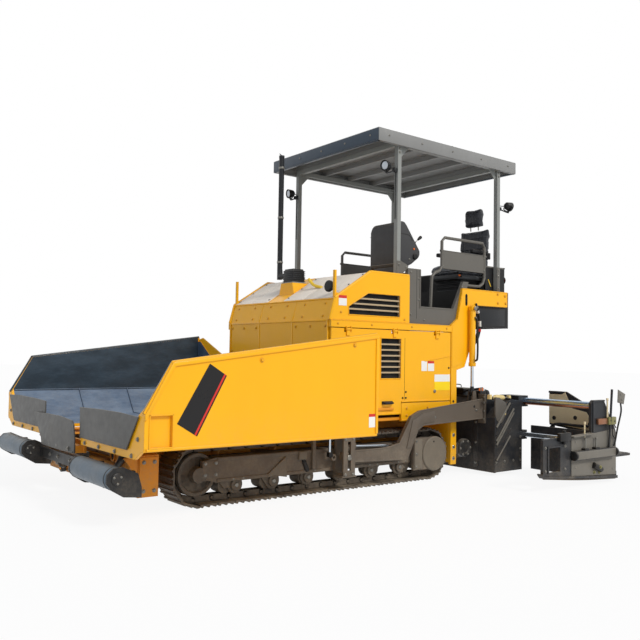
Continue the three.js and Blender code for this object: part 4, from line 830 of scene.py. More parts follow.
def track_fittings(side):
    piece = Piece("track_fittings", "tractor", "brown_grey_paint", side)
    outer = 0.925
    for x in ROLLER_XS:
        piece.add("track_frame_paint", turned([(0, 0.074), (0.25, 0.078), (0.55, 0.074), (0.6, 0.052),
            (1, 0.048), (1, 0)], (x, 0.845, 0.1503), (x, 0.902, 0.1503), 22))
        piece.add("bolt_zinc", cap((x, 0.9, 0.1503), OUT, 0.02, 0.012, 14))
        piece.add("track_frame_paint", block((x - 0.036, x + 0.036), (0.872, 0.896), (0.15, 0.196), 0.006))
        piece.bolted([(x - 0.05, 0.925, 0.21), (x + 0.05, 0.925, 0.21)], OUT, 0.009)
    # Flat rim along the beam's outer face, with its bolted splice plates.
    piece.add("track_frame_paint", block((-1.05, 1.16), (outer - 0.004, outer + 0.008), (0.372, 0.398)),
        block((-1.05, 1.16), (outer - 0.004, outer + 0.008), (0.194, 0.222)))
    piece.add("gusset_paint", plate([(0.466, 0.362), (0.452, 0.178), (0.662, 0.216)], "y", outer - 0.002,
        outer + 0.016, 0.005, 2), block((0.238, 0.325), (outer - 0.002, outer + 0.024), (0.318, 0.396),
        0.008))
    piece.add("track_frame_paint", block((1.15, 1.3), (0.872, 0.932), (0.238, 0.38), 0.01))
    piece.bolted([(x, 0.932, z) for x in (1.175, 1.275) for z in (0.262, 0.356)], OUT, 0.01)
    # Tension cylinder of the idler, seen through the beam's window.
    piece.add("handle_black", rod((0.3, outer + 0.004, 0.391), (0.262, outer + 0.006, 0.302), 0.017),
        rod((0.262, outer + 0.006, 0.302), (0.22, outer + 0.004, 0.213), 0.022))
    piece.add("track_frame_paint", block((0.142, 0.178), (outer - 0.002, outer + 0.03), (0.222, 0.486)))
    piece.add("chrome", rod((0.018, 1.0, 0.372), (0.018, 1.0, 0.506), 0.013))
    piece.add("track_frame_paint", ring((-0.023, 0.985, 0.325), (-0.023, 1.015, 0.325), 0.03, 0.013))
    piece.add("handle_black", block((-0.004, 0.04), (0.978, 1.022), (0.33, 0.376), 0.006))
    piece.add("chrome", rod((-0.308, 0.95, 0.407), (-0.859, 0.95, 0.383), 0.011))
    for x, z in ((-0.308, 0.407), (-0.859, 0.383)):
        piece.add("track_frame_paint", block((x - 0.022, x + 0.022), (0.926, 0.972), (z - 0.03, z + 0.026),
            0.006))
    # Guide of the tow arm: pin cap, foot bolts and the bolts of its bars.
    piece.bolted([(x, 1.094, z) for x in (-0.187, -0.093) for z in (0.172, 0.496)], OUT, 0.01)
    piece.add("track_frame_paint", block((-0.225, -0.055), (0.962, 1.1), (0.142, 0.158)))
    # Cover of the final drive: one smooth lid with a filler plug at the top.
    hub = (-1.375, 0.99, 0.27)
    piece.add("gusset_paint", turned([(0, 0.176), (0.6, 0.176), (1, 0.166), (1, 0)],
        (hub[0], 0.986, hub[2]), (hub[0], 1.004, hub[2]), 48, 0.004))
    piece.add("black_detail_and_painted_shade", cap((hub[0] + 0.02, 1.003, hub[2] + 0.125), OUT, 0.01, 0.004, 14))
    piece.add("gusset_paint", block((-1.195, -1.088), (0.984, 0.998), (0.128, 0.428), 0.006))
    piece.bolted([(-1.11, 0.998, z) for z in (0.15, 0.28, 0.41)], OUT, 0.009)
    # Idler wheel: dished face, hub and axle block.
    piece.add("track_steel", turned([(0, 0.172), (0.4, 0.176), (0.4, 0.15), (0.15, 0.14), (0.15, 0.07),
        (1, 0.062), (1, 0)], (IDLER_X, 0.846, WHEEL_Z), (IDLER_X, 0.926, WHEEL_Z), 36))
    piece.done()


on_both_sides(tracks)
on_both_sides(track_fittings)


# ---------------- push rollers and their beam

ROLLER_X, ROLLER_Z = 2.22, 0.37


def push_rollers(side):
    body = f"push_roller_{side}"
    piece = Piece("push_roller_drum", body, "worn_steel", side, (body,))
    low, high = 0.62, 1.33
    span = high - low
    profile = [(0, 0), (0, 0.074), (0.012 / span, 0.0835), (0.05 / span, 0.085), (1 - 0.05 / span, 0.085),
        (1 - 0.012 / span, 0.0835), (1, 0.074), (1, 0)]
    piece.add("roller_steel", turned(profile, (ROLLER_X, low, ROLLER_Z), (ROLLER_X, high, ROLLER_Z), 44))
    piece.add("bolt_zinc", rod((ROLLER_X, low - 0.02, ROLLER_Z), (ROLLER_X, high + 0.02, ROLLER_Z), 0.016))
    for y in (low + 0.02, high - 0.02):
        piece.add("handle_black", ring((ROLLER_X, y - 0.004, ROLLER_Z), (ROLLER_X, y + 0.004, ROLLER_Z),
            0.0858, 0.07, 44, 0.0))
    piece.done()


def roller_beam_fittings():
    piece = Piece("roller_beam_fittings", "roller_beam", "black_paint")
    for s in (1, -1):
        for y in (1.356, 0.594):
            out = (0, s if y > 1 else -s, 0)
            piece.add("black_paint", cap((ROLLER_X, s * y, ROLLER_Z), out, 0.044, 0.012, 22))
            piece.bolted([(ROLLER_X + 0.03 * math.cos(a), s * y + (0.01 if y > 1 else -0.01) * s,
                ROLLER_Z + 0.03 * math.sin(a)) for a in (0.5, 2.6, 4.7)], out, 0.006)
        piece.add("black_paint", block((2.046, 2.14), (s * 0.66, s * 0.7), (0.292, 0.408), 0.006),
            block((2.046, 2.14), (s * 1.24, s * 1.28), (0.292, 0.408), 0.006))
        piece.bolted([(2.122, s * y, 0.35) for y in (0.15, 0.35, 0.8, 1.1)], AHEAD, 0.012)
    piece.add("black_paint", block((2.118, 2.13), (-1.2, 1.2), (0.384, 0.398), 0.003))
    piece.done()


on_both_sides(push_rollers)
roller_beam_fittings()


# ---------------- hopper

def bowed_flap(points, x, thick, bow, sag):
    """A thick rubber-and-steel flap: a flat outline across X, finely divided and bowed forwards."""
    part = bmesh.new()
    part.faces.new([part.verts.new((x, y, z)) for y, z in points])
    ys, zs = [p[0] for p in points], [p[1] for p in points]
    for axis, low, high, count in ((1, min(ys), max(ys), 14), (2, min(zs), max(zs), 6)):
        for i in range(1, count):
            at = Vector((x, 0, 0))
            at[axis] = low + (high - low) * i / count
            normal = Vector((0, 0, 0))
            normal[axis] = 1
            bmesh.ops.bisect_plane(part, geom=part.verts[:] + part.edges[:] + part.faces[:], dist=1e-6,
                plane_co=at, plane_no=normal)
    grown = bmesh.ops.extrude_face_region(part, geom=part.faces[:])["geom"]
    moved = [v for v in grown if isinstance(v, bmesh.types.BMVert)]
    bmesh.ops.translate(part, vec=(thick, 0, 0), verts=moved)
    for v in part.verts:
        u = 2 * (v.co.y - min(ys)) / (max(ys) - min(ys)) - 1
        w = (v.co.z - min(zs)) / (max(zs) - min(zs))
        v.co.x += bow * (1 - u * u) * math.sin(math.pi * (0.25 + 0.75 * w)) + sag * w * u * u
    bmesh.ops.recalc_face_normals(part, faces=part.faces)
    return soften(part, 0.003, 1, angle=50)


def nose_flap(side):
    piece = Piece("nose_flap", f"wing_{side}", "dark_grey_paint", side, (f"wing_flap_{side}",))
    outline = [(0.425, 0.572), (1.345, 0.572), (1.528, 0.818), (1.2, 0.828), (0.8, 0.826), (0.425, 0.816)]
    piece.add("flap_sheet", bowed_flap(outline, 2.1403, 0.012, 0.014, 0.004), block((2.141, 2.156),
        (0.432, 1.33), (0.574, 0.59), 0.003))
    piece.add("bolt_zinc", bolts([(2.1405, y, 0.536) for y in (0.517, 0.804, 1.111, 1.407)], AHEAD, 0.012),
        bolts([(2.1405, 1.504, 0.66)], AHEAD, 0.012))
    piece.done()


def centre_flap():
    piece = Piece("centre_flap_sheet", "tractor", "dark_grey_paint", "", ("centre_flap",))
    outline = [(-0.38, 0.44), (0.38, 0.44), (0.385, 0.56), (0.362, 0.668), (0.33, 0.7), (0.06, 0.716),
        (-0.3, 0.716), (-0.64, 0.706), (-0.56, 0.64), (-0.385, 0.5)]
    piece.add("flap_sheet", bowed_flap(outline, 2.1653, 0.012, 0.03, 0.006), block((2.166, 2.19),
        (-0.372, 0.372), (0.442, 0.456), 0.003))
    piece.bolted([(2.19, y, 0.47) for y in (-0.33, -0.15, 0.025, 0.274)], AHEAD, 0.012)
    piece.done()


def wing_top(x):
    """Height of the side wall's upper edge along the wing."""
    return 1.448 + (1.196 - 1.448) * (x + 0.02) / 1.95


def wing_fittings(side):
    piece = Piece("wing_fittings", f"wing_{side}", "yellow_paint", side)
    face = 1.6
    # Folded rim along the top edge, down the sloping nose and down the rear edge.
    lip = [(-0.02, wing_top(-0.02) - 0.03), (-0.02, wing_top(-0.02) + 0.002), (1.936, 1.199),
        (2.14, 0.832), (2.14, 0.8), (2.128, 0.796), (1.914, 1.172)]
    piece.add("machine_yellow", plate(lip, "y", face - 0.002, face + 0.012, 0.004, 2),
        block((-0.022, 0.006), (face - 0.002, face + 0.01), (0.6, 1.44)),
        block((-0.018, 2.12), (face - 0.03, face + 0.006), (0.578, 0.602), 0.008, 3))
    # Rounded bead on top of the wall.
    bead = [(-0.018, 1.581, wing_top(-0.018) + 0.003), (0.95, 1.581, wing_top(0.95) + 0.003),
        (1.925, 1.581, wing_top(1.925) + 0.001), (2.132, 1.581, 0.84)]
    for a, b in zip(bead, bead[1:]):
        piece.add("bead_paint", rod(a, b, 0.016, sides=12))
    for at in bead[1:3]:
        piece.add("bead_paint", cap(at, OUT, 0.016, 0.018, 12))
    # Bare black plate on the outer wall, with its coloured edge.
    piece.add("decal_black", plate([(1.637, 1.193), (1.492, 1.104), (1.73, 0.668), (1.892, 0.765)], "y",
        face, face + 0.002, 0.0))
    piece.add("decal_red", plate([(1.514, 1.118), (1.753, 0.682), (1.74, 0.674), (1.501, 1.11)], "y", face,
        face + 0.003, 0.0))
    piece.add("yellow_bolt", bolts([(1.182, face, 1.223), (0.245, face, 1.356)], OUT, 0.014))
    piece.add("decal_white", block((-0.012, 0.077), (face, face + 0.0018), (0.655, 0.745), 0.0))
    piece.add("decal_red", block((-0.012, 0.077), (face, face + 0.002), (0.745, 0.77), 0.0))
    # Reinforcing frame round the deeper pocket of the nose.
    for x, z in (((1.918, 1.928), (0.6, 0.836)), ((2.096, 2.106), (0.6, 0.836)),
            ((1.918, 2.106), (0.597, 0.607)), ((1.918, 2.106), (0.826, 0.836))):
        piece.add("machine_yellow", block(x, (face - 0.004, face + 0.007), z, 0.003))
    # Inside: weld seams across the floor and the wall, and the bead along the fold.
    for x in (0.36, 0.9, 1.44):
        piece.add("hopper_yellow", plate([(0.44, 0.6052), (1.325, 0.6052), (1.522, 0.856), (1.53, 0.868),
            (1.524, 0.874), (1.318, 0.6112), (0.44, 0.6112)], "x", x - 0.004, x + 0.004, 0.0))
    piece.add("hopper_yellow", rod((0.01, 1.527, 0.862), (2.11, 1.527, 0.862), 0.007, sides=8))
    # Slanting stop plate at the rear corner of the apron.
    piece.add("hopper_yellow", plate([(1.59, 1.42), (1.466, 1.446), (1.017, 1.255), (1.11, 1.13),
        (1.188, 1.16), (1.5, 1.398), (1.588, 1.398)], "x", -0.022, -0.008, 0.003))
    piece.add("machine_yellow", bolts([(2.128, 1.5, 0.62)], AHEAD, 0.01))
    piece.done()


def wing_cylinder(side):
    foot, eye = Vector((1.95, 0.5, 0.19)), Vector((1.95, 0.9, 0.5))
    way = (eye - foot).normalized()
    barrel = Piece("wing_cylinder_tube", f"wing_barrel_{side}", "dark_grey_paint", side,
        (f"wing_cylinder_{side}",))
    length = 0.43
    barrel.add("black_paint", turned([(0.045, 0), (0.045, 0.024), (0.07, 0.028), (0.9, 0.028),
        (0.905, 0.033), (0.985, 0.033), (1, 0.029), (1, 0.0147)], foot, foot + way * length, 26),
        ring(foot - Vector((0.022, 0, 0)), foot + Vector((0.022, 0, 0)), 0.03, 0.0123))
    barrel.add("bolt_zinc", rod(foot + way * 0.08 + Vector((0.024, 0, 0)),
        foot + way * 0.08 + Vector((0.048, 0, 0)), 0.009, sides=6))
    barrel.done()
    piston = Piece("wing_cylinder_rod", f"wing_rod_{side}", "bright_rod", side, (f"wing_rod_{side}",))
    piston.add("chrome", rod(eye - way * 0.42, eye - way * 0.03, 0.014, sides=20))
    piston.add("black_paint", ring(eye - Vector((0.016, 0, 0)), eye + Vector((0.016, 0, 0)), 0.026, 0.01),
        rod(eye - way * 0.05, eye - way * 0.02, 0.017, 0.02))
    piston.done()


on_both_sides(nose_flap)
centre_flap()
on_both_sides(wing_fittings)
on_both_sides(wing_cylinder)


def chassis_fittings():
    """The front cross-beam's ends, lamps' brackets, flanged holes and stiffeners under the hopper."""
    piece = Piece("chassis_fittings", "tractor", "orange_paint")
    for s in (1, -1):
        # Flanged hand holes through the cross-beam's face, each with a near-black disc inside as painted
        # shade.
        for y in (0.52, 0.7, 0.88):
            piece.add("orange_underframe", ring((1.898, s * y, 0.42), (1.912, s * y, 0.42), 0.046, 0.034,
                26))
            piece.add("black_detail_and_painted_shade", rod((1.8985, s * y, 0.42), (1.9015, s * y, 0.42), 0.035, sides=26))
        piece.bolted([(1.9, s * y, z) for y in (0.63, 0.79, 0.96) for z in (0.2, 0.27)], AHEAD)
        piece.add("dial_white", cap((1.902, s * 0.645, 0.33), AHEAD, 0.03, 0.008, 24))
        # Gussets between the beam and the strip above it.
        piece.add("orange_underframe", plate([(1.899, 0.46), (2.02, 0.46), (1.899, 0.3)], "y", s * 0.976,
            s * 0.994, 0.004), block((1.735, 1.895), (s * 0.965, s * 1.012), (0.16, 0.46), 0.006))
        piece.bolted([(x, s * 1.012, z) for x in (1.77, 1.86) for z in (0.2, 0.42)], (0, s, 0))
        piece.add("orange_underframe", block((1.4, 1.73), (s * 0.598, s * 0.612), (0.48, 0.512)))
        # Feet that the folded wing rests on.
        for x in (0.42, 1.02, 1.62):
            piece.add("orange_underframe", plate([(0.598, 0.512), (0.598, 0.33), (0.64, 0.33), (0.8, 0.5),
                (0.8, 0.512)] if s > 0 else [(-0.598, 0.512), (-0.598, 0.33), (-0.64, 0.33), (-0.8, 0.5),
                (-0.8, 0.512)], "x", x, x + 0.016, 0.003))
    piece.done()


chassis_fittings()


# ---------------- body: bulkhead, hood, doors

BODY_Y = 0.917


def slope_height(x):
    """Height of the hood's sloping roof."""
    return 1.81 + 0.28 * (-0.092 - x) / 0.448


def bulkhead_fittings():
    piece = Piece("bulkhead_fittings", "tractor", "yellow_paint")
    # Seam strips between the front's pressed panels, with their screws.
    piece.add("machine_yellow", block((-0.037, -0.029), (-0.88, 0.88), (1.588, 1.604), 0.003))
    for s in (1, -1):
        piece.add("machine_yellow", block((-0.037, -0.031), (s * 0.29, s * 0.312), (0.9, 1.59), 0.002))
        piece.add("yellow_bolt", bolts([(-0.035, s * y, z) for y in (0.36, 0.6, 0.84)
            for z in (1.545, 1.3)], AHEAD, 0.01))
        lean = Vector((0.205, 0, 0.057)).normalized()
        places = [(-0.035 - 0.057 * t, s * y, 1.6 + 0.205 * t) for y in (0.15, 0.45, 0.78)
            for t in (0.2, 0.8)]
        piece.add("yellow_bolt", bolts(places, lean, 0.009))
        piece.add("machine_yellow", hose([(-0.0385, s * 0.3, 1.607), (-0.0945, s * 0.3, 1.803)], 0.006, 8))
        # Turned flange down each end of the bulkhead.
        piece.add("machine_yellow", block((-0.04, -0.024), (s * 0.864, s * 0.8845), (0.7, 1.598), 0.003))
    piece.add("machine_yellow", hose([(-0.093, -0.88, 1.806), (-0.093, 0.88, 1.806)], 0.009))
    piece.done()


def hood_fittings():
    piece = Piece("hood_fittings", "tractor", "yellow_paint")
    slope = Vector((-0.448, 0, 0.28)).normalized()
    out = Vector((0.28, 0, 0.448)).normalized()
    for s, inner in ((1, 0.058), (-1, 0.238)):
        # Pale pressed plates over the sloping roof, one each side of the exhaust's base.
        for near, far in ((inner, inner + 0.33), (inner + 0.336, 0.882)):
            part = plate([(0.006, s * near), (0.515, s * near), (0.515, s * far), (0.006, s * far)], "z",
                0.0, 0.006, 0.003, 2)
            place = Matrix((slope, (0, 1, 0), out)).transposed().to_4x4()
            place.translation = (-0.092, 0, 1.8105)
            bmesh.ops.transform(part, matrix=place, verts=part.verts)
            bmesh.ops.recalc_face_normals(part, faces=part.faces)
            piece.add("slope_plate", part)
        for x in (-0.14, -0.31, -0.49):
            for y in (inner + 0.03, 0.85):
                at = Vector((x, s * y, slope_height(x) + 0.007))
                piece.bolted([at], out, 0.008)
        # Rolled edge along the top of each side panel.
        edge = [(-0.094, s * 0.902, 1.812), (-0.54, s * 0.902, 2.093), (-1.066, s * 0.902, 2.093)]
        for a, b in zip(edge, edge[1:]):
            piece.add("machine_yellow", rod(a, b, 0.017, sides=12))
        piece.add("machine_yellow", rod((-0.094, s * 0.902, 1.814), (-0.036, s * 0.902, 1.604), 0.015,
            sides=12))
        # Flat hood roof behind the ridge: lid, its joint and hinges.
        piece.add("machine_yellow", block((-1.045, -0.6), (s * 0.06, s * 0.84), (2.089, 2.101), 0.006))
        for y in (0.25, 0.65):
            piece.add("yellow_bolt", block((-1.062, -1.03), (s * y - 0.03, s * y + 0.03), (2.094, 2.112),
                0.005))
        # Near-black box behind the vent as painted shade in its openings, and the vent's frame.
        piece.add("black_detail_and_painted_shade", block((-0.945, -0.245), (s * 0.868, s * 0.884), (1.65, 1.89), 0.0))
        frame_line = [(-0.936, 1.658), (-0.254, 1.658), (-0.254, 1.741), (-0.503, 1.882), (-0.936, 1.882),
            (-0.936, 1.658)]
        piece.add("machine_yellow", beading(frame_line, s * 0.9175, 0.005))
        piece.add("yellow_bolt", bolts([(-0.16, s * BODY_Y, 1.68), (-1.0, s * BODY_Y, 1.64)], (0, s, 0),
            0.009))
        # Lifting lug's gusset and eye.
        piece.add("machine_yellow", block((-0.122, -0.098), (s * 0.862, s * 0.9), (1.802, 1.822)))
        # Rail's lower lip and its row of screws.
        piece.add("machine_yellow", block((-1.69, -0.04), (s * 0.905, s * 0.928), (1.596, 1.604), 0.003))
        for x in (-0.12, -0.55, -1.1, -1.62):
            piece.add("yellow_bolt", bolts([(x, s * 0.925, 1.57)], (0, s, 0), 0.008))
        piece.add("machine_yellow", block((-1.066, -0.056), (s * (BODY_Y - 0.001), s * (BODY_Y + 0.003)),
            (1.606, 1.612), 0.001))
    # Bare label plates, on the left side only.
    piece.add("decal_white", block((-0.228, -0.13), (BODY_Y, BODY_Y + 0.002), (1.742, 1.812), 0.0))
    piece.add("decal_red", block((-0.228, -0.13), (BODY_Y, BODY_Y + 0.0022), (1.812, 1.84), 0.0))
    # Horn behind the left lug, and the lamp's yellow strap.
    piece.add("handle_black", cap((-0.118, 0.79, 1.93), (1, 0.1, 0.05), 0.057, 0.03, 28),
        rod((-0.175, 0.785, 1.925), (-0.115, 0.79, 1.93), 0.03, 0.05, 20), hose([(-0.17, 0.785, 1.92),
        (-0.2, 0.77, 1.88), (-0.205, 0.76, 1.85)], 0.01, 8))
    piece.add("strap_yellow", hose([(-0.3, 0.215, 2.05), (-0.3, 0.3, 1.985), (-0.3, 0.434, 1.95)], 0.016,
        8))
    piece.done()


def exhaust():
    """Ribbed muffler box on the hood, the tall pipe beside it and its rain flap."""
    piece = Piece("exhaust", "tractor", "black_paint", "", ("exhaust_stack",))
    piece.add("black_paint", block((-0.408, -0.252), (-0.178, -0.002), (2.0253, 2.165), 0.01, 3))
    for k in range(6):
        z = 2.046 + 0.021 * k
        piece.add("black_paint", block((-0.413, -0.247), (-0.183, 0.003), (z - 0.004, z + 0.004), 0.003))
    piece.add("mid_grey_paint", block((-0.418, -0.242), (-0.188, 0.008), (2.024, 2.036), 0.003))
    piece.add("black_paint", block((-0.398, -0.262), (-0.168, -0.012), (2.16, 2.178), 0.006),
        rod((-0.3, -0.315, 2.08), (-0.3, -0.315, 3.43), 0.029, sides=24), ring((-0.3, -0.315, 3.42),
        (-0.3, -0.315, 3.45), 0.0305, 0.026), hose([(-0.3, -0.17, 2.115), (-0.3, -0.25, 2.112),
        (-0.3, -0.302, 2.128), (-0.3, -0.315, 2.19)], 0.03, 18))
    for z in (2.26, 2.75, 3.3):
        piece.add("bolt_zinc", ring((-0.3, -0.315, z), (-0.3, -0.315, z + 0.022), 0.0335, 0.028),
            rod((-0.3, -0.342, z + 0.011), (-0.3, -0.362, z + 0.011), 0.008, sides=6))
    piece.add("black_paint", rod((-0.3, -0.315, 3.452), (-0.268, -0.315, 3.468), 0.004, 0.004, 8))
    piece.done()


def door_fittings(side):
    piece = Piece("door_fittings", f"door_{side}", "yellow_paint", side)
    face = BODY_Y - 0.001
    # Black pull handle over an orange-yellow ledge.
    piece.add("handle_black", block((-0.84, -0.7), (face, face + 0.014), (0.786, 0.818), 0.006),
        hose([(-0.825, face + 0.01, 0.802), (-0.815, face + 0.042, 0.8), (-0.725, face + 0.042, 0.8),
        (-0.715, face + 0.01, 0.802)], 0.008, 8))
    piece.add("orange_underframe", block((-0.85, -0.56), (face - 0.002, face + 0.022), (0.728, 0.752),
        0.006))
    # Stiffened rims and the upright joint between the door's two sheets.
    piece.add("machine_yellow", block((-0.962, -0.05), (face - 0.004, face + 0.007), (0.682, 0.7)),
        block((-1.688, -0.966), (face - 0.004, face + 0.006), (0.802, 0.818)))
    piece.add("black_detail_and_painted_shade", block((-1.0125, -1.0085), (face - 0.001, face + 0.0006), (0.822, 1.452), 0.0))
    spots = [(-1.03, 0.845), (-0.985, 0.845), (-1.03, 0.905), (-1.665, 1.15), (-0.08, 0.75)]
    piece.add("black_detail_and_painted_shade", bolts([(x, face, z) for x, z in spots], OUT, 0.007))
    # Raised crease across the rear sheet.
    piece.add("machine_yellow", plate([(-1.3, 1.214), (-1.684, 1.27), (-1.684, 1.286), (-1.296, 1.23)],
        "y", face - 0.001, face + 0.005))
    # Near-black box behind the vent as painted shade in its openings, and the vent's frame.
    piece.add("black_detail_and_painted_shade", block((-0.962, -0.675), (0.87, 0.884), (1.036, 1.449), 0.0))
    corners = [(-0.958, 1.04), (-0.679, 1.04), (-0.679, 1.445), (-0.958, 1.445), (-0.958, 1.04)]
    piece.add("machine_yellow", beading(corners, face + 0.0005, 0.005))
    # Round latches.
    for x in (-0.55, -1.45):
        piece.add("bolt_zinc", cap((x, face, 0.905 if x < -1 else 0.78), OUT, 0.018, 0.01, 18))
    if side == "left":
        for low, high in ((-1.334, -1.251), (-1.439, -1.347)):
            piece.add("decal_white", block((low, high), (face, face + 0.0018), (1.117, 1.221), 0.0))
        piece.add("decal_red", block((-1.439, -1.347), (face, face + 0.0022), (1.196, 1.221), 0.0))
        piece.add("decal_white", block((-1.682, -1.447), (face, face + 0.0018), (1.005, 1.08), 0.0))
        piece.add("decal_yellow", block((-1.682, -1.447), (face, face + 0.0018), (0.914, 1.005), 0.0))
    piece.done()
    skirt = Piece("skirt_fittings", "tractor", "yellow_paint", side)
    skirt.add("yellow_bolt", bolts([(x, face, z) for x in (-1.045, -1.35, -1.655) for z in (0.668, 0.74)],
        OUT, 0.01))
    skirt.add("machine_yellow", block((-1.69, -0.974), (face - 0.004, face + 0.006), (0.612, 0.628)))
    skirt.done()


bulkhead_fittings()
hood_fittings()
exhaust()
on_both_sides(door_fittings)


# ---------------- rear frames and lift cylinders

def rear_frame_fittings(side):
    piece = Piece("rear_frame_fittings", "tractor", "yellow_paint", side)
    face = BODY_Y
    piece.add("yellow_bolt", bolts([(-2.472, face, 1.99), (-2.602, face, 1.976), (-2.477, face, 1.888),
        (-2.614, face, 1.892)], OUT, 0.012))
    for z in (0.433, 0.305, 0.185):
        piece.add("chrome", rod((-1.748, face - 0.002, z), (-1.748, face + 0.004, z), 0.02, sides=20))
        piece.bolted([(-1.748, face + 0.003, z)], OUT, 0.012)
    for z in (1.174, 0.791):
        piece.add("black_detail_and_painted_shade", rod((-1.741, face - 0.002, z), (-1.741, face + 0.001, z), 0.014, sides=20))
    piece.add("black_detail_and_painted_shade", block((-1.952, -1.918), (face + 0.003, face + 0.0055), (1.848, 1.942), 0.0),
        rod((-1.935, face + 0.003, 1.848), (-1.935, face + 0.0055, 1.848), 0.017, sides=18),
        rod((-1.935, face + 0.003, 1.942), (-1.935, face + 0.0055, 1.942), 0.017, sides=18))
    # Welded edge bead round the arm, and the doubler plate where it leaves the post.
    rim = [(-1.882, 2.014), (-2.64, 2.014), (-2.64, 1.851), (-2.118, 1.847), (-2.082, 1.8),
        (-2.042, 1.458), (-1.911, 1.164), (-1.796, 1.134)]
    piece.add("machine_yellow", beading(rim, face - 0.002, 0.006))
    piece.add("machine_yellow", plate([(-1.712, 1.15), (-1.712, 1.6), (-1.8, 1.66), (-1.88, 1.99),
        (-2.02, 1.99), (-1.995, 1.47), (-1.88, 1.2)], "y", face - 0.001, face + 0.004))
    # Bearing cap of the auger.
    piece.add("black_paint", turned([(0, 0.098), (0.6, 0.098), (1, 0.09), (1, 0.06), (0.5, 0.052),
        (0.5, 0)], (-1.925, face - 0.001, 0.285), (-1.925, face + 0.018, 0.285), 36))
    spots = [(-1.925 + 0.078 * math.cos(a), face + 0.016, 0.285 + 0.078 * math.sin(a))
        for a in (math.pi * k / 3 for k in range(6))]
    piece.bolted(spots, OUT, 0.009)
    # Head of the lift cylinder's pin.
    piece.add("bolt_zinc", cap((-1.99, 1.004, 1.8), OUT, 0.024, 0.01, 22))
    piece.done()


def lift_cylinder(side):
    x, y = -1.99, 0.962
    barrel = Piece("lift_tube", f"lift_barrel_{side}", "yellow_paint", side, (f"lift_cylinder_{side}",))
    barrel.add("machine_yellow", turned([(0, 0), (0, 0.028), (0.02, 0.034), (0.93, 0.034), (0.935, 0.04),
        (0.985, 0.04), (1, 0.036), (1, 0.0187)], (x, y, 1.785), (x, y, 1.168)),
        ring((x, y - 0.026, 1.8), (x, y + 0.026, 1.8), 0.036, 0.0145, 28))
    barrel.add("bolt_zinc", rod((x, y + 0.03, 1.23), (x, y + 0.056, 1.23), 0.01, sides=6),
        rod((x, y + 0.03, 1.7), (x, y + 0.056, 1.7), 0.01, sides=6))
    barrel.add("rubber", hose([(x, y + 0.054, 1.232), (x, y + 0.072, 1.26), (x - 0.03, y + 0.05, 1.42),
        (x - 0.04, y + 0.03, 1.64), (x, y + 0.052, 1.698)], 0.011))
    barrel.done()
    piston = Piece("lift_piston", f"lift_rod_{side}", "bright_rod", side, (f"lift_rod_{side}",))
    piston.add("chrome", rod((x, y, 1.42), (x, y, 0.91), 0.018, sides=22))
    piston.add("black_paint", ring((x, y - 0.016, 0.88), (x, y + 0.016, 0.88), 0.032, 0.01, 26),
        rod((x, y, 0.905), (x, y, 0.95), 0.024, 0.02))
    piston.done()


on_both_sides(rear_frame_fittings)
on_both_sides(lift_cylinder)


def augers(side):
    piece = Piece("auger_screw", f"auger_{side}", "worn_steel", side, (f"auger_{side}",))
    x, z, low, high = -1.925, 0.285, 0.0503, 0.903
    piece.add("track_steel", rod((x, low, z), (x, 0.878, z), 0.032, sides=24), rod((x, 0.87, z),
        (x, high, z), 0.024, sides=20))
    part = bmesh.new()
    edge = [part.verts.new((x + r, low + 0.031 + dy, z)) for r, dy in ((0.028, 0.0), (0.12, 0.004),
        (0.12, 0.01), (0.028, 0.014))]
    loop = [part.edges.new(pair) for pair in zip(edge, edge[1:] + edge[:1])]
    steps = 84
    bmesh.ops.spin(part, geom=edge + loop, cent=(x, 0, z), axis=(0, 1, 0), angle=7 * math.pi, steps=steps,
        dvec=(0, (0.778 - 0.014) / steps, 0), use_merge=False)
    bmesh.ops.holes_fill(part, edges=part.edges, sides=4)
    bmesh.ops.recalc_face_normals(part, faces=part.faces)
    piece.add("track_steel", part)
    for y in (low + 0.05, 0.84):
        piece.bolted([(x + 0.032, y, z)], AHEAD, 0.008)
    piece.done()


on_both_sides(augers)


# ---------------- operator's station

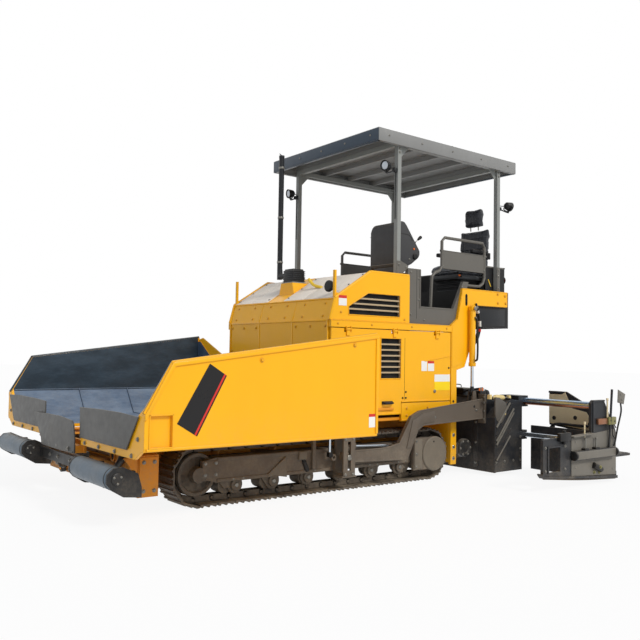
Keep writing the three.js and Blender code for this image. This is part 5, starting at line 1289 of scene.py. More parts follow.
def console():
    """The tall control console: a rounded shell, a slanted panel of switches, and two levers."""
    piece = Piece("console_shell", "console", "dark_grey_paint", "", ("console",))
    side = [(-1.078, 2.205), (-1.078, 2.61), (-1.1, 2.665), (-1.14, 2.7), (-1.19, 2.698), (-1.225, 2.665),
        (-1.425, 2.405), (-1.425, 2.36), (-1.405, 2.325), (-1.3, 2.25), (-1.198, 2.205)]
    piece.add("console_plastic", plate(side, "y", 0.285, 0.715, 0.024, 4), block((-1.188, -1.083),
        (0.345, 0.705), (2.1303, 2.215), 0.012, 3))
    piece.add("station_paint", block((-1.205, -1.07), (0.33, 0.7), (2.1303, 2.142), 0.003),
        block((-1.11, -1.074), (0.283, 0.717), (2.236, 2.246), 0.002))
    # Upper hood line and the parting line round the shell.
    for y in (0.284, 0.716):
        piece.add("black_detail_and_painted_shade", hose([(-1.08, y, 2.56), (-1.25, y, 2.56), (-1.3, y, 2.5)], 0.002, 6, 2))
    lean = Vector((-0.26, 0, 0.2)).normalized()
    down = Vector((-0.2, 0, -0.26)).normalized()
    base = Vector((-1.228, 0.5, 2.668)) + lean * 0.004
    panel = block((0.01, 0.31), (-0.185, 0.185), (-0.004, 0.006))
    place = Matrix((down, (0, -1, 0), lean)).transposed().to_4x4()
    place.translation = base
    bmesh.ops.transform(panel, matrix=place, verts=panel.verts)
    bmesh.ops.recalc_face_normals(panel, faces=panel.faces)
    piece.add("black_paint", panel)
    for row in range(3):
        for k in range(6):
            at = base + down * (0.07 + 0.085 * row) + Vector((0, -0.145 + 0.058 * k, 0)) + lean * 0.004
            if (row + k) % 3 == 0:
                piece.add("dial_white", cap(at, lean, 0.019, 0.008, 16))
            else:
                finish = ("bolt_zinc", "red_paint", "orange_cap")[(row * 2 + k) % 3]
                piece.add("handle_black", cap(at, lean, 0.012, 0.008, 12))
                piece.add(finish, rod(at, at + lean * 0.03, 0.005, 0.007, 10))
    for y in (0.36, 0.64):
        foot = base + down * 0.245 + Vector((0, y - 0.5, 0))
        piece.add("rubber", turned([(0, 0.03), (0.3, 0.02), (0.5, 0.024), (0.75, 0.014), (1, 0.012),
            (1, 0)], foot, foot + lean * 0.045, 18))
        piece.add("bolt_zinc", rod(foot + lean * 0.03, foot + lean * 0.11, 0.005, sides=10))
        piece.add("grip_rubber", turned([(0, 0), (0, 0.011), (0.5, 0.017), (0.85, 0.018), (1, 0.01),
            (1, 0)], foot + lean * 0.1, foot + lean * 0.165, 18))
    # Work lamp's cable gland and knobs on the near side, and the clamp that holds the console's slide.
    piece.add("orange_cap", cap((-1.325, 0.715, 2.415), OUT, 0.011, 0.008, 14))
    piece.add("handle_black", cap((-1.34, 0.715, 2.335), OUT, 0.032, 0.02, 22))
    piece.bolted([(x, 0.715, z) for x, z in ((-1.105, 2.28), (-1.105, 2.6), (-1.26, 2.3))], OUT, 0.007)
    piece.add("handle_black", rod((-1.135, 0.706, 2.172), (-1.135, 0.748, 2.172), 0.006),
        cap((-1.135, 0.745, 2.172), OUT, 0.02, 0.014, 16))
    piece.done()


PAD_PRESSURE = 4.0
CLOTH_STEPS = 20


def padding(name, outline, across, voxel, limit, seams):
    """A padded piece: its outline across Y is remeshed, blown up as cloth, capped and sewn."""
    part = plate(outline, "y", across[0], across[1], 0.022, 4)
    bmesh.ops.translate(part, vec=(SHIFT, 0, 0), verts=part.verts)
    mesh = bpy.data.meshes.new(name)
    part.to_mesh(mesh)
    part.free()
    made = bpy.data.objects.new(name, mesh)
    bpy.context.scene.collection.objects.link(made)
    fine = made.modifiers.new("fine", "REMESH")
    fine.mode = "VOXEL"
    fine.voxel_size = voxel
    apply_all(made)
    rest = [v.co.copy() for v in made.data.vertices]
    cloth = made.modifiers.new("cloth", "CLOTH")
    cloth.settings.use_pressure = True
    cloth.settings.uniform_pressure_force = PAD_PRESSURE
    cloth.settings.effector_weights.gravity = 0
    cloth.settings.tension_stiffness = 12
    cloth.settings.compression_stiffness = 12
    cloth.settings.bending_stiffness = 0.4
    scene = bpy.context.scene
    for step in range(1, CLOTH_STEPS + 1):
        scene.frame_set(step)
    apply_all(made)
    scene.frame_set(1)
    for vertex, place in zip(made.data.vertices, rest):
        move = vertex.co - place
        if move.length > limit:
            vertex.co = place + move.normalized() * limit
    smooth = made.modifiers.new("smooth", "SUBSURF")
    smooth.levels = smooth.render_levels = 1
    apply_all(made)
    sew(made.data, seams)
    made.data.shade_smooth()
    return made


def apply_all(made):
    """Keeps what the modifiers make of a mesh and takes them off."""
    bpy.context.view_layer.update()
    seen = made.evaluated_get(bpy.context.evaluated_depsgraph_get())
    mesh = bpy.data.meshes.new_from_object(seen)
    made.modifiers.clear()
    made.data = mesh


def sew(mesh, seams):
    """Draws the surface in along each seam: a plane through a point, with its width and depth."""
    mesh.update()
    normals = [v.normal.copy() for v in mesh.vertices]
    for point, normal, width, depth, low, high in seams:
        point = Vector(point) + Vector((SHIFT, 0, 0))
        normal = Vector(normal).normalized()
        for vertex, out in zip(mesh.vertices, normals):
            off = abs((vertex.co - point).dot(normal))
            if off < width and low < vertex.co.z < high:
                vertex.co -= out * depth * 0.5 * (1 + math.cos(math.pi * off / width))


def seat():
    cushion = padding("seat_cushion_pad",
        [(-2.0, 2.216), (-1.994, 2.262), (-2.03, 2.304), (-2.25, 2.296), (-2.44, 2.3), (-2.452, 2.214)],
        (0.304, 0.736), 0.006, 0.022,
        [((0, y, 0), OUT, 0.014, 0.01, 2.255, 3) for y in (0.4, 0.64)]
        + [((-2.14, 0, 0), AHEAD, 0.014, 0.008, 2.255, 3), ((0, 0, 2.236), UP, 0.01, 0.008, 0, 3)])
    back = padding("seat_back_pad",
        [(-2.503, 2.256), (-2.47, 2.35), (-2.49, 2.56), (-2.516, 2.776), (-2.552, 2.784), (-2.574, 2.7),
        (-2.556, 2.256)], (0.308, 0.732), 0.006, 0.022,
        [((0, y, 0), OUT, 0.014, 0.009, 2.3, 2.74) for y in (0.405, 0.635)]
        + [((0, 0, z), UP, 0.012, 0.008, 0, 3) for z in (2.4, 2.53, 2.66)])
    rest = padding("seat_headrest_pad",
        [(-2.492, 2.816), (-2.476, 2.9), (-2.484, 2.986), (-2.51, 3.022), (-2.546, 3.02), (-2.572, 2.96),
        (-2.566, 2.812)], (0.404, 0.636), 0.005, 0.03,
        [((0, y, 0), OUT, 0.012, 0.007, 2.87, 3.1) for y in (0.47, 0.52, 0.57)])
    for pad, finish, fill in ((cushion, "wrapped_vinyl", 0.7), (back, "seat_vinyl", 0.65),
            (rest, "seat_vinyl", 0.7)):
        pad.data.materials.clear()
        pad.data.materials.append(FINISHES[finish])
        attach(pad, "seat")
    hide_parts("seat_cushion")
    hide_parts("seat_back")
    piece = Piece("seat_fittings", "seat", "dark_grey_paint")
    for y in (0.462, 0.578):
        piece.add("bolt_zinc", rod((-2.532, y, 2.77), (-2.526, y, 2.88), 0.007, sides=12))
    # Armrests on their hinged brackets, and the suspension's bellows and slides.
    for y in (0.262, 0.778):
        piece.add("grip_rubber", block((-2.45, -2.17), (y - 0.026, y + 0.026), (2.448, 2.494), 0.018, 4))
        piece.add("handle_black", block((-2.5, -2.43), (y - 0.012, y + 0.012), (2.4, 2.476), 0.008))
        inner = 0.3 if y < 0.5 else 0.74
        piece.add("bolt_zinc", rod((-2.484, y, 2.43), (-2.484, inner, 2.43), 0.01, sides=14))
    for k in range(6):
        z = 2.034 + 0.019 * k
        grow = 0.01 if k % 2 else 0.0
        piece.add("rubber", block((-2.402 - grow, -2.088 + grow), (0.338 - grow, 0.702 + grow),
            (z, z + 0.017), 0.006))
    piece.add("dark_grey_paint", block((-2.478, -2.0), (0.298, 0.742), (2.152, 2.196), 0.012, 3))
    piece.add("handle_black", hose([(-2.03, 0.745, 2.17), (-2.03, 0.77, 2.172), (-1.99, 0.775, 2.18)],
        0.007, 8))
    piece.add("orange_cap", cap((-1.99, 0.775, 2.18), AHEAD, 0.012, 0.018, 12))
    piece.add("rubber", hose([(-2.5, 0.735, 2.45), (-2.44, 0.748, 2.36), (-2.3, 0.742, 2.33)], 0.004, 6))
    piece.done()


def station_fittings(side):
    piece = Piece("station_fittings", "tractor", "dark_grey_paint", side)
    face = 0.884
    # Folded flanges, seams and screws of the step frames.
    piece.add("station_paint", block((-1.262, -1.248), (face - 0.004, face + 0.006), (1.77, 2.176), 0.003),
        block((-1.085, -1.071), (face - 0.004, face + 0.006), (1.604, 2.176), 0.003))
    piece.add("black_detail_and_painted_shade", block((-1.205, -1.202), (face, face + 0.001), (1.66, 2.17), 0.0))
    piece.add("station_paint", block((-1.762, -1.262), (face - 0.03, face + 0.004), (1.774, 1.79)))
    piece.bolted([(x, face, z) for x, z in ((-1.12, 2.14), (-1.12, 1.7), (-1.235, 2.08), (-1.235, 1.86),
        (-1.32, 1.65), (-1.78, 1.65), (-1.905, 2.03))], OUT, 0.008)
    # Ribbed tread on the step, and the bracket that braces the canopy's front post.
    for k in range(8):
        x = -1.32 - 0.055 * k
        piece.add("tread_plate", block((x - 0.018, x + 0.018), (0.85, 0.882), (1.78, 1.786), 0.003))
    piece.add("station_paint", plate([(-0.985, 2.092), (-0.985, 2.105), (-1.07, 2.178), (-1.075, 2.2),
        (-0.968, 2.24), (-0.912, 2.24), (-0.905, 2.105), (-0.845, 2.105), (-0.845, 2.092)], "y", 0.8845,
        0.892, 0.003))
    piece.bolted([(x, 0.892, z) for x, z in ((-0.94, 2.205), (-0.865, 2.1), (-1.045, 2.18))], OUT, 0.01)
    # Rail's foot plates, clips and the grip's end stops.
    piece.add("station_paint", ring((-1.4505, 0.845, 1.776), (-1.4505, 0.845, 1.79), 0.034, 0.0175, 22))
    for x in (-1.62, -2.32):
        piece.add("station_paint", block((x - 0.022, x + 0.022), (0.832, 0.862), (2.4, 2.424)))
        piece.bolted([(x + (0.012 if x < -2 else -0.012), 0.853, z) for z in (2.25, 2.39)], OUT, 0.007)
    piece.add("station_paint", block((-2.318, -1.622), (0.836, 0.856), (2.412, 2.422), 0.003),
        block((-2.318, -1.622), (0.836, 0.856), (2.22, 2.23), 0.003))
    piece.done()


def station_floor():
    piece = Piece("station_floor", "tractor", "dark_grey_paint")
    for i in range(7):
        for k in range(13):
            x = -1.2 - 0.115 * i
            y = -0.72 + 0.12 * k
            lean = 45 if (i + k) % 2 else -45
            piece.add("tread_plate", oblong((x, y), 0.06, 0.014, lean, "z", 1.6355, 1.6395, 0.0))
    # Dashboard rail with its rubber cap, the slide's stops and the pedals.
    piece.add("grip_rubber", block((-1.066, -1.054), (-0.838, 0.838), (2.106, 2.129), 0.005))
    for y in (0.34, 0.5):
        piece.add("handle_black", block((-1.33, -1.22), (y - 0.04, y + 0.04), (1.675, 1.69), 0.005))
        piece.add("bolt_zinc", rod((-1.215, y, 1.684), (-1.105, y, 1.73), 0.008, sides=10))
    piece.add("station_paint", block((-1.1, -1.094), (-0.7, 0.7), (1.7, 2.05), 0.002))
    piece.bolted([(-1.1, y, z) for y in (-0.6, 0.0, 0.6) for z in (1.75, 2.0)], BACK, 0.008)
    piece.done()


def cabinet_fittings():
    """Lids, hinges, latches, vents and tail lamps of the rear cabinet and the guard above it."""
    piece = Piece("cabinet_fittings", "tractor", "black_paint")
    rear = -2.7
    for s in (1, -1):
        piece.add("black_paint", block((rear - 0.008, rear + 0.004), (s * 0.04, s * 0.82), (1.66, 1.96),
            0.006))
        piece.add("bolt_zinc", block((rear - 0.02, rear - 0.006), (s * 0.4, s * 0.46), (1.78, 1.84),
            0.005))
        for k in range(5):
            z = 1.7 + 0.022 * k
            piece.add("handle_black", block((rear - 0.014, rear - 0.006), (s * 0.56, s * 0.76),
                (z, z + 0.01), 0.003))
        piece.add("red_paint", cap((rear - 0.002, s * 0.79, 2.17), BACK, 0.042, 0.022, 24))
        piece.add("orange_cap", cap((rear - 0.002, s * 0.7, 2.17), BACK, 0.036, 0.02, 24))
        piece.add("handle_black", ring((rear - 0.002, s * 0.79, 2.17), (rear - 0.014, s * 0.79, 2.17),
            0.05, 0.042, 26))
        # Side lid of the cabinet seen behind the yellow arm, and the guard's folded rim.
        piece.add("black_paint", block((-2.64, -2.14), (s * 0.8795, s * 0.8855), (1.63, 1.83), 0.003))
        piece.add("station_paint", block((-2.7, -2.362), (s * 0.826, s * 0.834), (2.296, 2.314), 0.003),
            block((-2.545, -2.495), (s * 0.884, s * 0.89), (2.022, 2.3), 0.003))
        piece.bolted([(-2.52, s * 0.89, z) for z in (2.06, 2.2, 2.27)], (0, s, 0), 0.009)
        piece.add("strap_yellow", oblong((-2.43, 2.12), 0.09, 0.01, 60, "y", s * 0.831, s * 0.834, 0.0))
        for x in (-2.12, -2.35, -2.58):
            piece.add("handle_black", block((x - 0.035, x + 0.035), (s * 0.6, s * 0.66), (2.018, 2.034),
                0.005))
    piece.add("station_paint", block((-2.706, -2.674), (-0.834, 0.834), (2.3, 2.316)))
    piece.add("tread_plate", block((-2.34, -2.04), (-0.8, -0.35), (2.019, 2.025), 0.003))
    piece.add("handle_black", block((-2.706, -2.7), (-0.17, 0.17), (2.1, 2.23)))
    piece.done()


console()
seat()
on_both_sides(station_fittings)
station_floor()
cabinet_fittings()


# ---------------- canopy

def canopy_fittings():
    piece = Piece("canopy_fittings", "tractor", "dark_grey_paint")
    front, rear, half, low, high = -0.61, -2.775, 0.923, 3.425, 3.552
    # Trim strips along the rim; at the two ends, which face away from the sun, they are painted a darker
    # bluish grey as painted shade, with a drip edge below.
    for x, out in ((front, 1), (rear, -1)):
        piece.add("canopy_trim_painted_shade", block((x - 0.003 * out, x + 0.004 * out), (-half + 0.002, half - 0.002),
            (low + 0.004, high - 0.006), 0.003), block((x - 0.034 * out, x + 0.001 * out), (-half, half),
            (low - 0.006, low + 0.003), 0.002))
        piece.bolted([(x + 0.004 * out, y, 3.49) for y in (-0.8, -0.4, 0.0, 0.4, 0.8)], (out, 0, 0), 0.007)
    for s in (1, -1):
        piece.add("canopy_paint", block((rear, front), (s * (half - 0.002), s * (half + 0.004)),
            (low - 0.006, high - 0.003)), block((rear, front), (s * (half - 0.034), s * half),
            (low - 0.006, low + 0.003), 0.002))
        piece.bolted([(x, s * (half + 0.004), 3.49) for x in (-0.75, -1.22, -1.69, -2.16, -2.63)],
            (0, s, 0), 0.007)
    # Pressed ribs along the skin and the seam between its two sheets.
    for k in range(9):
        y = -0.8 + 0.2 * k
        piece.add("canopy_paint", block((rear + 0.06, front - 0.06), (y - 0.016, y + 0.016),
            (high - 0.004, high + 0.005), 0.006, 3))
    piece.add("canopy_paint", block((-1.7, -1.684), (-half, half), (high - 0.003, high + 0.004), 0.003))
    # Gusset plates where the posts meet the ring.
    for s in (1, -1):
        for x, way in ((-0.94, -1), (-2.52, 1)):
            piece.add("mid_grey_paint", plate([(x + 0.024 * way, 3.432), (x + 0.15 * way, 3.432),
                (x + 0.024 * way, 3.3)], "y", s * 0.853, s * 0.859))
            piece.bolted([(x, s * 0.884, z) for z in (3.36, 3.4)], (0, s, 0), 0.009)
    piece.done()


def work_lamp(name, at, aim, bracket):
    """A round work lamp on a short arm, with its lead clipped down the post."""
    piece = Piece(name, "tractor", "black_paint")
    at, aim = Vector(at), Vector(aim).normalized()
    piece.add("handle_black", turned([(0, 0), (0, 0.022), (0.2, 0.04), (0.7, 0.05), (1, 0.052), (1, 0.046),
        (0.86, 0.043), (0.86, 0)], at - aim * 0.045, at + aim * 0.04, 26))
    piece.add("lamp_lens", turned([(0, 0), (0, 0.044), (0.6, 0.038), (1, 0)], at + aim * 0.026,
        at + aim * 0.04, 26))
    piece.add("handle_black", ring(at + aim * 0.034, at + aim * 0.042, 0.054, 0.045, 26))
    piece.add("black_paint", hose([at - Vector((0, 0, 0.05)), at - Vector((0, 0, 0.075)), bracket], 0.008,
        8), hose([at + Vector((0, 0.052, 0)), at + Vector((0, 0.058, -0.03)), at - Vector((0, 0, 0.062)),
        at + Vector((0, -0.058, -0.03)), at - Vector((0, 0.052, 0))], 0.006, 8))
    post = Vector(bracket)
    piece.add("rubber", hose([at - aim * 0.045, at - aim * 0.075 - Vector((0, 0, 0.02)),
        post + Vector((0, 0, 0.02)), post - Vector((0, 0, 0.12)), post - Vector((0, 0, 0.5))], 0.0045, 7))
    piece.add("black_paint", block((post.x - 0.032, post.x + 0.032), (post.y - 0.02, post.y + 0.02),
        (post.z - 0.02, post.z + 0.02)))
    piece.done()


canopy_fittings()
work_lamp("lamp_front_left", (-0.77, 0.874, 3.196), (1, 0.15, -0.12), (-0.906, 0.858, 3.17))
work_lamp("lamp_front_right", (-0.836, -0.88, 3.196), (1, -0.15, -0.12), (-0.906, -0.858, 3.15))
work_lamp("lamp_rear_left", (-2.67, 0.9, 3.03), (-1, 0.15, -0.15), (-2.553, 0.858, 2.99))
work_lamp("lamp_rear_right", (-2.67, -0.89, 3.03), (-1, -0.15, -0.15), (-2.553, -0.858, 2.99))


# ---------------- tow arms and screed

def tow_arm_fittings(side):
    piece = Piece("tow_arm_fittings", "screed", "brown_grey_paint", side)
    face = 1.06
    # Trunnion's head in the guide, and the bolts of the arm's two joints.
    piece.add("bolt_zinc", cap((-0.14, 1.092, 0.325), OUT, 0.026, 0.01, 22))
    piece.add("track_frame_paint", turned([(0, 0.048), (1, 0.042), (1, 0)], (-0.14, face - 0.002, 0.325),
        (-0.14, face + 0.01, 0.325)))
    for x, z in ((-1.277, 0.688), (-1.915, 0.74)):
        piece.add("black_detail_and_painted_shade", rod((x, face - 0.002, z), (x, face + 0.001, z), 0.014, sides=18))
        piece.bolted([(x - 0.03, face, z - 0.04)], OUT, 0.01)
    # Doubler plates where the arm steps up over the drive, with a welded edge.
    piece.add("track_frame_paint", plate([(-0.985, 0.628), (-1.13, 0.694), (-1.3, 0.712), (-1.3, 0.606),
        (-1.15, 0.592), (-1.062, 0.548), (-0.96, 0.36), (-0.905, 0.36)], "y", face - 0.001, face + 0.008,
        0.004, 2))
    for run in (((-0.17, 0.372), (-0.66, 0.38), (-0.812, 0.41), (-0.982, 0.67), (-1.11, 0.722),
            (-2.056, 0.817)), ((-0.17, 0.279), (-0.918, 0.25), (-1.068, 0.535), (-1.145, 0.576),
            (-2.056, 0.61))):
        piece.add("track_frame_paint", beading(run, face - 0.003, 0.007))
    # Flange bolts, and the stepped bolts of the screed's bracket.
    for z in (0.6, 0.69, 0.78, 0.84):
        piece.bolted([(-2.0585, 1.072, z)], AHEAD, 0.01)
    piece.bolted([(-2.388, face, 0.64), (-2.25, face, 0.7), (-2.15, face, 0.64)], OUT, 0.013)
    # Cheek plate of the screed's shoulder, curved up under its foot, with its pivot bolt.
    piece.add("bracket_paint", plate([(-2.09, 0.842), (-2.09, 0.66), (-2.112, 0.596), (-2.15, 0.566),
        (-2.2, 0.56), (-2.24, 0.582), (-2.272, 0.64), (-2.284, 0.72), (-2.27, 0.776), (-2.16, 0.836)], "y",
        1.186, 1.206, 0.004, 2))
    piece.add("turnbuckle_paint", bolts([(-2.245, 1.2045, 0.66)], OUT, 0.009))
    # Turnbuckle of the screed's angle setting.
    piece.add("turnbuckle_paint", turned([(0, 0.006), (0.1, 0.016), (0.14, 0.024), (0.3, 0.028),
        (0.7, 0.028), (0.86, 0.024), (0.9, 0.016), (1, 0.006)], (-2.096, 1.16, 0.842), (-2.3, 1.16, 0.832),
        14))
    piece.add("bolt_zinc", rod((-2.04, 1.16, 0.845), (-2.096, 1.16, 0.842), 0.009, sides=12),
        rod((-2.3, 1.16, 0.832), (-2.37, 1.16, 0.829), 0.009, sides=12))
    for x, z in ((-2.046, 0.845), (-2.366, 0.829)):
        piece.add("turnbuckle_paint", block((x - 0.018, x + 0.018), (1.138, 1.182), (z - 0.026, z + 0.026),
            0.008))
    # Valve block behind the flange with its capped unions.
    piece.add("handle_black", block((-2.2, -2.1), (0.88, 0.985), (0.82, 0.9), 0.006))
    for k, finish in enumerate(("orange_cap", "bolt_zinc", "orange_cap", "dial_white")):
        x = -2.115 - 0.024 * k
        piece.add(finish, turned([(0, 0.01), (0.6, 0.01), (1, 0.006), (1, 0)], (x, 0.96, 0.899),
            (x, 0.96, 0.932), 10))
    piece.done()


def screed_fittings():
    piece = Piece("screed_fittings", "screed", "black_paint")
    front = -2.0853
    for s in (1, -1):
        # Pressed double ribs that slant across the end plate.
        for x0, z0, x1, z1 in ((-2.105, 0.168, -2.335, 0.42), (-2.105, 0.33, -2.395, 0.672),
                (-2.105, 0.372, -2.395, 0.714), (-2.105, 0.52, -2.33, 0.78)):
            lean = math.degrees(math.atan2(z1 - z0, x1 - x0))
            length = math.hypot(x1 - x0, z1 - z0)
            piece.add("gate_paint", oblong(((x0 + x1) / 2, (z0 + z1) / 2), length, 0.02, lean, "y",
                s * 1.2, s * 1.2165, 0.003))
        spots = [(-2.11, 0.15), (-2.25, 0.15), (-2.4, 0.15), (-2.52, 0.15), (-2.52, 0.4), (-2.52, 0.27)]
        piece.bolted([(x, s * 1.2, z) for x, z in spots], (0, s, 0), 0.01)
        # Front mouldboard's bolted seam plates.
        for y in (0.3, 0.62, 0.94):
            piece.add("screed_black", block((front - 0.002, front + 0.006), (s * y - 0.03, s * y + 0.03),
                (0.07, 0.6), 0.003))
            piece.bolted([(front + 0.006, s * y, z) for z in (0.12, 0.34, 0.56)], AHEAD)
        # Heater and vibrator boxes on the top, their lids and handles.
        piece.add("black_paint", block((-2.5, -2.36), (s * 0.2, s * 0.52), (0.8, 0.9), 0.01, 3))
        piece.add("station_paint", block((-2.508, -2.352), (s * 0.192, s * 0.528), (0.896, 0.908)))
        piece.add("bolt_zinc", hose([(-2.43, s * 0.3, 0.908), (-2.43, s * 0.31, 0.94),
            (-2.43, s * 0.41, 0.94), (-2.43, s * 0.42, 0.908)], 0.006, 8))
        piece.add("handle_black", rod((-2.44, s * 0.62, 0.85), (-2.44, s * 0.8, 0.85), 0.048, sides=24,
            round_by=0.006))
        piece.add("bolt_zinc", ring((-2.44, s * 0.64, 0.85), (-2.44, s * 0.652, 0.85), 0.051, 0.046))
        # Rear face: slide rails of the extension and the heat shields.
        piece.add("black_paint", block((-2.562, -2.548), (s * 0.06, s * 1.18), (0.56, 0.6)),
            block((-2.562, -2.548), (s * 0.06, s * 1.18), (0.2, 0.24)))
        for y in (0.16, 0.4, 0.64, 0.88):
            piece.add("screed_black", block((-2.556, -2.548), (s * y, s * (y + 0.18)), (0.3, 0.52), 0.006))
            piece.bolted([(-2.556, s * (y + t), z) for t in (0.02, 0.16) for z in (0.32, 0.5)], BACK,
                0.007)
        # Hoses from the tractor's side that feed the extension's cylinder.
        piece.add("rubber", hose([(-2.15, s * 0.93, 0.85), (-2.23, s * 0.92, 0.9), (-2.33, s * 0.88, 0.89),
            (-2.4, s * 0.79, 0.862), (-2.41, s * 0.72, 0.858)], 0.012), hose([(-2.15, s * 0.9, 0.85),
            (-2.24, s * 0.88, 0.915), (-2.33, s * 0.8, 0.915), (-2.36, s * 0.56, 0.88),
            (-2.38, s * 0.52, 0.86)], 0.012))
        # Tamper's worn sole along the bottom.
        piece.add("track_steel", block((-2.12, -2.086), (s * 0.01, s * 1.196), (0.034, 0.062)))
    piece.add("black_paint", block((-2.36, -2.2), (-0.06, 0.06), (0.73, 0.85), 0.01, 3))
    piece.add("screed_black", hose([(-2.35, -1.2, 0.817), (-2.35, 1.2, 0.817)], 0.01, 8))
    piece.done()


def extension_fittings(side):
    piece = Piece("extension_fittings", f"extension_{side}", "black_paint", side)
    face = 2.1
    # Slide tubes' bright sleeves, and the plate at the end of the upper one.
    piece.add("slide_chrome", rod((-2.605, 0.905, 0.79), (-2.605, 2.072, 0.79), 0.0384, sides=36))
    piece.add("handle_black", block((-2.668, -2.55), (2.062, 2.0705), (0.712, 0.842)))
    piece.add("chrome", rod((-2.605, 0.905, 0.42), (-2.605, 2.072, 0.42), 0.0284, sides=28))
    # Grey outer box of the end gate: side sheet, its folded top and the adjusting screws.
    piece.add("gate_paint", plate([(-2.13, 0.118), (-2.13, 0.49), (-2.3, 0.505), (-2.88, 0.545),
        (-2.925, 0.51), (-2.925, 0.074)], "y", face - 0.001, face + 0.006, 0.003),
        plate([(-2.11, 0.498), (-2.11, 0.512), (-2.47, 0.528), (-2.47, 0.514)], "y", face - 0.02,
        face + 0.05, 0.003), block((-2.846, -2.134), (face + 0.03, face + 0.058), (0.279, 0.361), 0.008,
        3))
    for x in (-2.132, -2.85):
        piece.add("handle_black", rod((x - 0.012, face + 0.036, 0.32), (x + 0.012, face + 0.036, 0.32),
            0.046, sides=20, round_by=0.004))
    for x in (-2.332, -2.52):
        piece.add("bolt_zinc", rod((x, face + 0.03, 0.362), (x, face + 0.03, 0.47), 0.008, sides=12),
            rod((x, face + 0.03, 0.462), (x, face + 0.03, 0.48), 0.014, sides=6))
        piece.add("handle_black", block((x - 0.035, x + 0.035), (face, face + 0.052), (0.366, 0.384)))
    piece.add("cream_panel", rod((-2.332, face + 0.02, 0.49), (-2.332, face + 0.02, 0.64), 0.007,
        sides=12), rod((-2.332, face + 0.02, 0.62), (-2.332, face + 0.02, 0.645), 0.013, sides=6))
    # Hinge block ahead of the box, and the lower hinge with its spring.
    piece.add("handle_black", block((-2.082, -1.904), (face - 0.004, face + 0.04), (0.47, 0.552), 0.008),
        rod((-1.992, face + 0.018, 0.44), (-1.992, face + 0.018, 0.575), 0.017, sides=16),
        rod((-2.489, face + 0.02, 0.205), (-2.626, face + 0.02, 0.15), 0.03, sides=18, round_by=0.004))
    piece.add("olive_zinc", bolts([(-2.52, face + 0.006, 0.13), (-2.61, face + 0.006, 0.125),
        (-2.57, face + 0.046, 0.18)], OUT, 0.013))
    # Upper plate's clamp block and screw.
    piece.add("copper_tube", block((-2.73, -2.569), (face - 0.002, face + 0.03), (0.604, 0.664), 0.006))
    piece.add("olive_zinc", block((-2.875, -2.735), (face - 0.002, face + 0.044), (0.596, 0.676), 0.008))
    piece.add("black_detail_and_painted_shade", rod((-2.77, face + 0.0435, 0.64), (-2.77, face + 0.045, 0.64), 0.01, sides=14),
        rod((-2.84, face + 0.0435, 0.63), (-2.84, face + 0.045, 0.63), 0.01, sides=14))
    piece.add("cream_panel", rod((-2.744, face + 0.018, 0.659), (-2.744, face + 0.018, 0.862), 0.009,
        sides=12), rod((-2.744, face + 0.018, 0.846), (-2.744, face + 0.018, 0.868), 0.014, sides=6))
    piece.add("screed_black", block((-2.52, -2.5), (face - 0.028, face + 0.012), (0.53, 0.838)),
        plate([(-2.505, 0.828), (-2.505, 0.852), (-2.71, 0.852), (-2.718, 0.836)], "y", face - 0.028,
        face + 0.012, 0.004))
    # Control paddle on its crooked pole.
    piece.add("gate_paint", plate([(-2.925, 0.955), (-3.061, 0.905), (-3.03, 0.799), (-2.915, 0.82)], "y",
        face + 0.026, face + 0.034, 0.004, 2))
    piece.add("handle_black", hose([(-2.975, face + 0.028, 0.82), (-2.985, face + 0.028, 0.72),
        (-2.92, face + 0.028, 0.56), (-2.88, face + 0.026, 0.43), (-2.862, face + 0.02, 0.37)], 0.009))
    piece.bolted([(-2.965, face + 0.034, 0.9), (-2.99, face + 0.034, 0.85)], OUT, 0.008)
    piece.add("rubber", hose([(-2.88, face + 0.02, 0.45), (-2.82, face + 0.03, 0.5),
        (-2.84, face + 0.024, 0.6), (-2.9, face + 0.02, 0.56)], 0.006, 8))
    # Skid's worn sole and its end bolts.
    piece.add("track_steel", hose([(-1.69, face - 0.005, 0.135), (-2.3, face - 0.005, 0.076),
        (-2.92, face - 0.005, 0.038)], 0.01, 8))
    piece.bolted([(x, face, z) for x, z in ((-1.715, 0.2), (-1.715, 0.42), (-2.03, 0.2), (-2.03, 0.42),
        (-2.2, 0.2), (-2.86, 0.14), (-2.86, 0.48), (-2.2, 0.45))], OUT, 0.01)
    piece.add("screed_black", block((-1.765, -1.745), (face - 0.002, face + 0.01), (0.176, 0.42)),
        block((-1.96, -1.745), (face - 0.002, face + 0.01), (0.414, 0.432)))
    # Walkway: ribbed tread, its dark frame and the cream cover panel behind it.
    for k in range(5):
        x = -3.02 - 0.05 * k
        piece.add("tread_plate", block((x - 0.016, x + 0.016), (1.255, 2.06), (0.269, 0.276), 0.003))
    piece.add("screed_black", hose([(-3.01, 1.262, 0.276), (-3.01, 1.262, 0.44), (-3.01, 1.35, 0.532),
        (-3.01, 1.834, 0.538), (-3.01, 1.834, 0.276)], 0.014, 10, 4), hose([(-2.95, 1.262, 0.44),
        (-2.95, 1.35, 0.532), (-2.95, 1.64, 0.538), (-2.95, 1.834, 0.538), (-2.95, 1.85, 0.47)], 0.014, 10,
        4))
    piece.add("cream_panel", plate([(1.262, 0.786), (1.262, 0.866), (1.427, 0.868), (1.47, 0.893),
        (1.56, 0.72), (1.735, 0.69), (1.872, 0.5), (1.7, 0.5), (1.262, 0.54)], "x", -2.9675, -2.96))
    piece.add("screed_black", block((-2.966, -2.95), (1.262, 1.44), (0.878, 0.902), 0.003))
    piece.add("handle_black", bolts([(-2.96, y, z) for y, z in ((1.33, 0.6), (1.6, 0.62), (1.78, 0.56))],
        AHEAD, 0.016))
    piece.done()


on_both_sides(tow_arm_fittings)
screed_fittings()
on_both_sides(extension_fittings)


# ---------------- hoses and details behind the tractor

HOSE_SIZE = 0.025


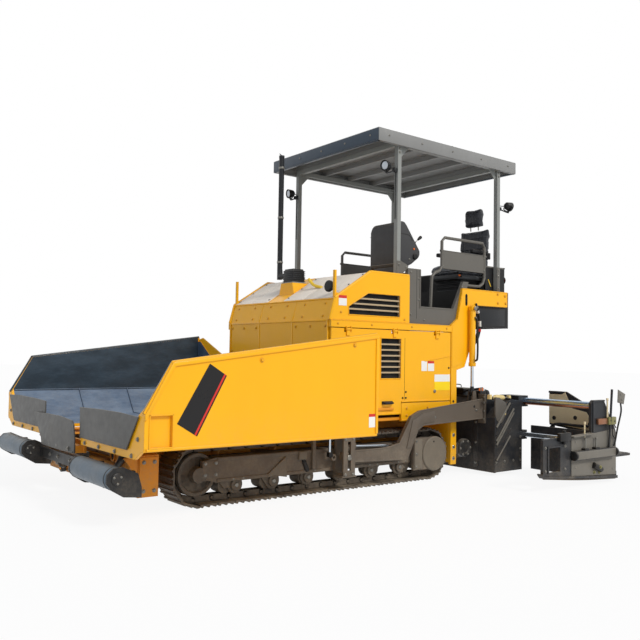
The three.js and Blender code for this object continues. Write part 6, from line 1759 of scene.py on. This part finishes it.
def rear_hoses(side):
    """Free hoses from under the cabinet down to the rear wall, each with its crimped sleeves."""
    sleeves = Piece("hose_sleeves", "tractor", "black_paint", side)
    for number, y in enumerate((0.925, 0.885, 0.845)):
        sway = 0.014 * (number % 2)
        run = [(-2.09 - sway, y, 1.862), (-2.12 - sway, y, 1.785), (-2.15 - sway, y, 1.7),
            (-2.158 - sway, y, 1.61), (-2.142 - sway, y, 1.52), (-2.112 - sway, y - 0.012, 1.44),
            (-2.064 - sway, y - 0.045, 1.375), (-1.995, y - 0.085, 1.328), (-1.92, y - 0.108, 1.302),
            (-1.835, y - 0.118, 1.29), (-1.742, y - 0.12, 1.288)]
        path = smooth_path(run, 3)
        piece = Piece(f"lift_hose_{number + 1}", "tractor", "black_paint", side)
        piece.add("rubber", hose(run, HOSE_SIZE / 2, 12, 3))
        made = piece.done()
        for low, high, finish in ((3, 4, "white_hose"), (7, 9, "white_hose"), (1, 2, "bolt_zinc"),
                (10, 11, "red_paint"), (28, 29, "bolt_zinc")):
            sleeves.add(finish, rod(path[low], path[high], HOSE_SIZE * 0.62, sides=16))
    sleeves.done()


def rear_wall():
    piece = Piece("rear_wall_fittings", "tractor", "black_paint")
    for s in (1, -1):
        # Access lid, its handle, and the lines of the auger drive's motors.
        piece.add("orange_underframe", block((-1.742, -1.732), (s * 0.18, s * 0.7), (1.02, 1.44), 0.008))
        piece.bolted([(-1.742, s * y, z) for y in (0.22, 0.66) for z in (1.06, 1.4)], BACK, 0.01)
        piece.add("handle_black", block((-1.756, -1.74), (s * 0.4, s * 0.5), (1.21, 1.23), 0.006))
        piece.add("black_paint", rod((-1.74, s * 0.12, 0.98), (-1.8, s * 0.12, 0.98), 0.02, sides=16))
        piece.add("rubber", hose([(-1.79, s * 0.12, 0.98), (-1.87, s * 0.115, 0.96),
            (-1.92, s * 0.09, 0.89), (-1.925, s * 0.04, 0.82), (-1.925, s * 0.03, 0.8)], 0.01))
    # Gearbox between the augers, its motor and the bolts of its cover.
    piece.add("black_paint", block((-1.965, -1.885), (-0.044, 0.044), (0.715, 0.735), 0.006))
    piece.add("handle_black", rod((-1.925, 0.0, 0.73), (-1.925, 0.0, 0.83), 0.048, sides=24,
        round_by=0.006))
    piece.bolted([(-1.98, 0.0, z) for z in (0.3, 0.45, 0.6)], BACK, 0.012)
    piece.done()


on_both_sides(rear_hoses)
rear_wall()
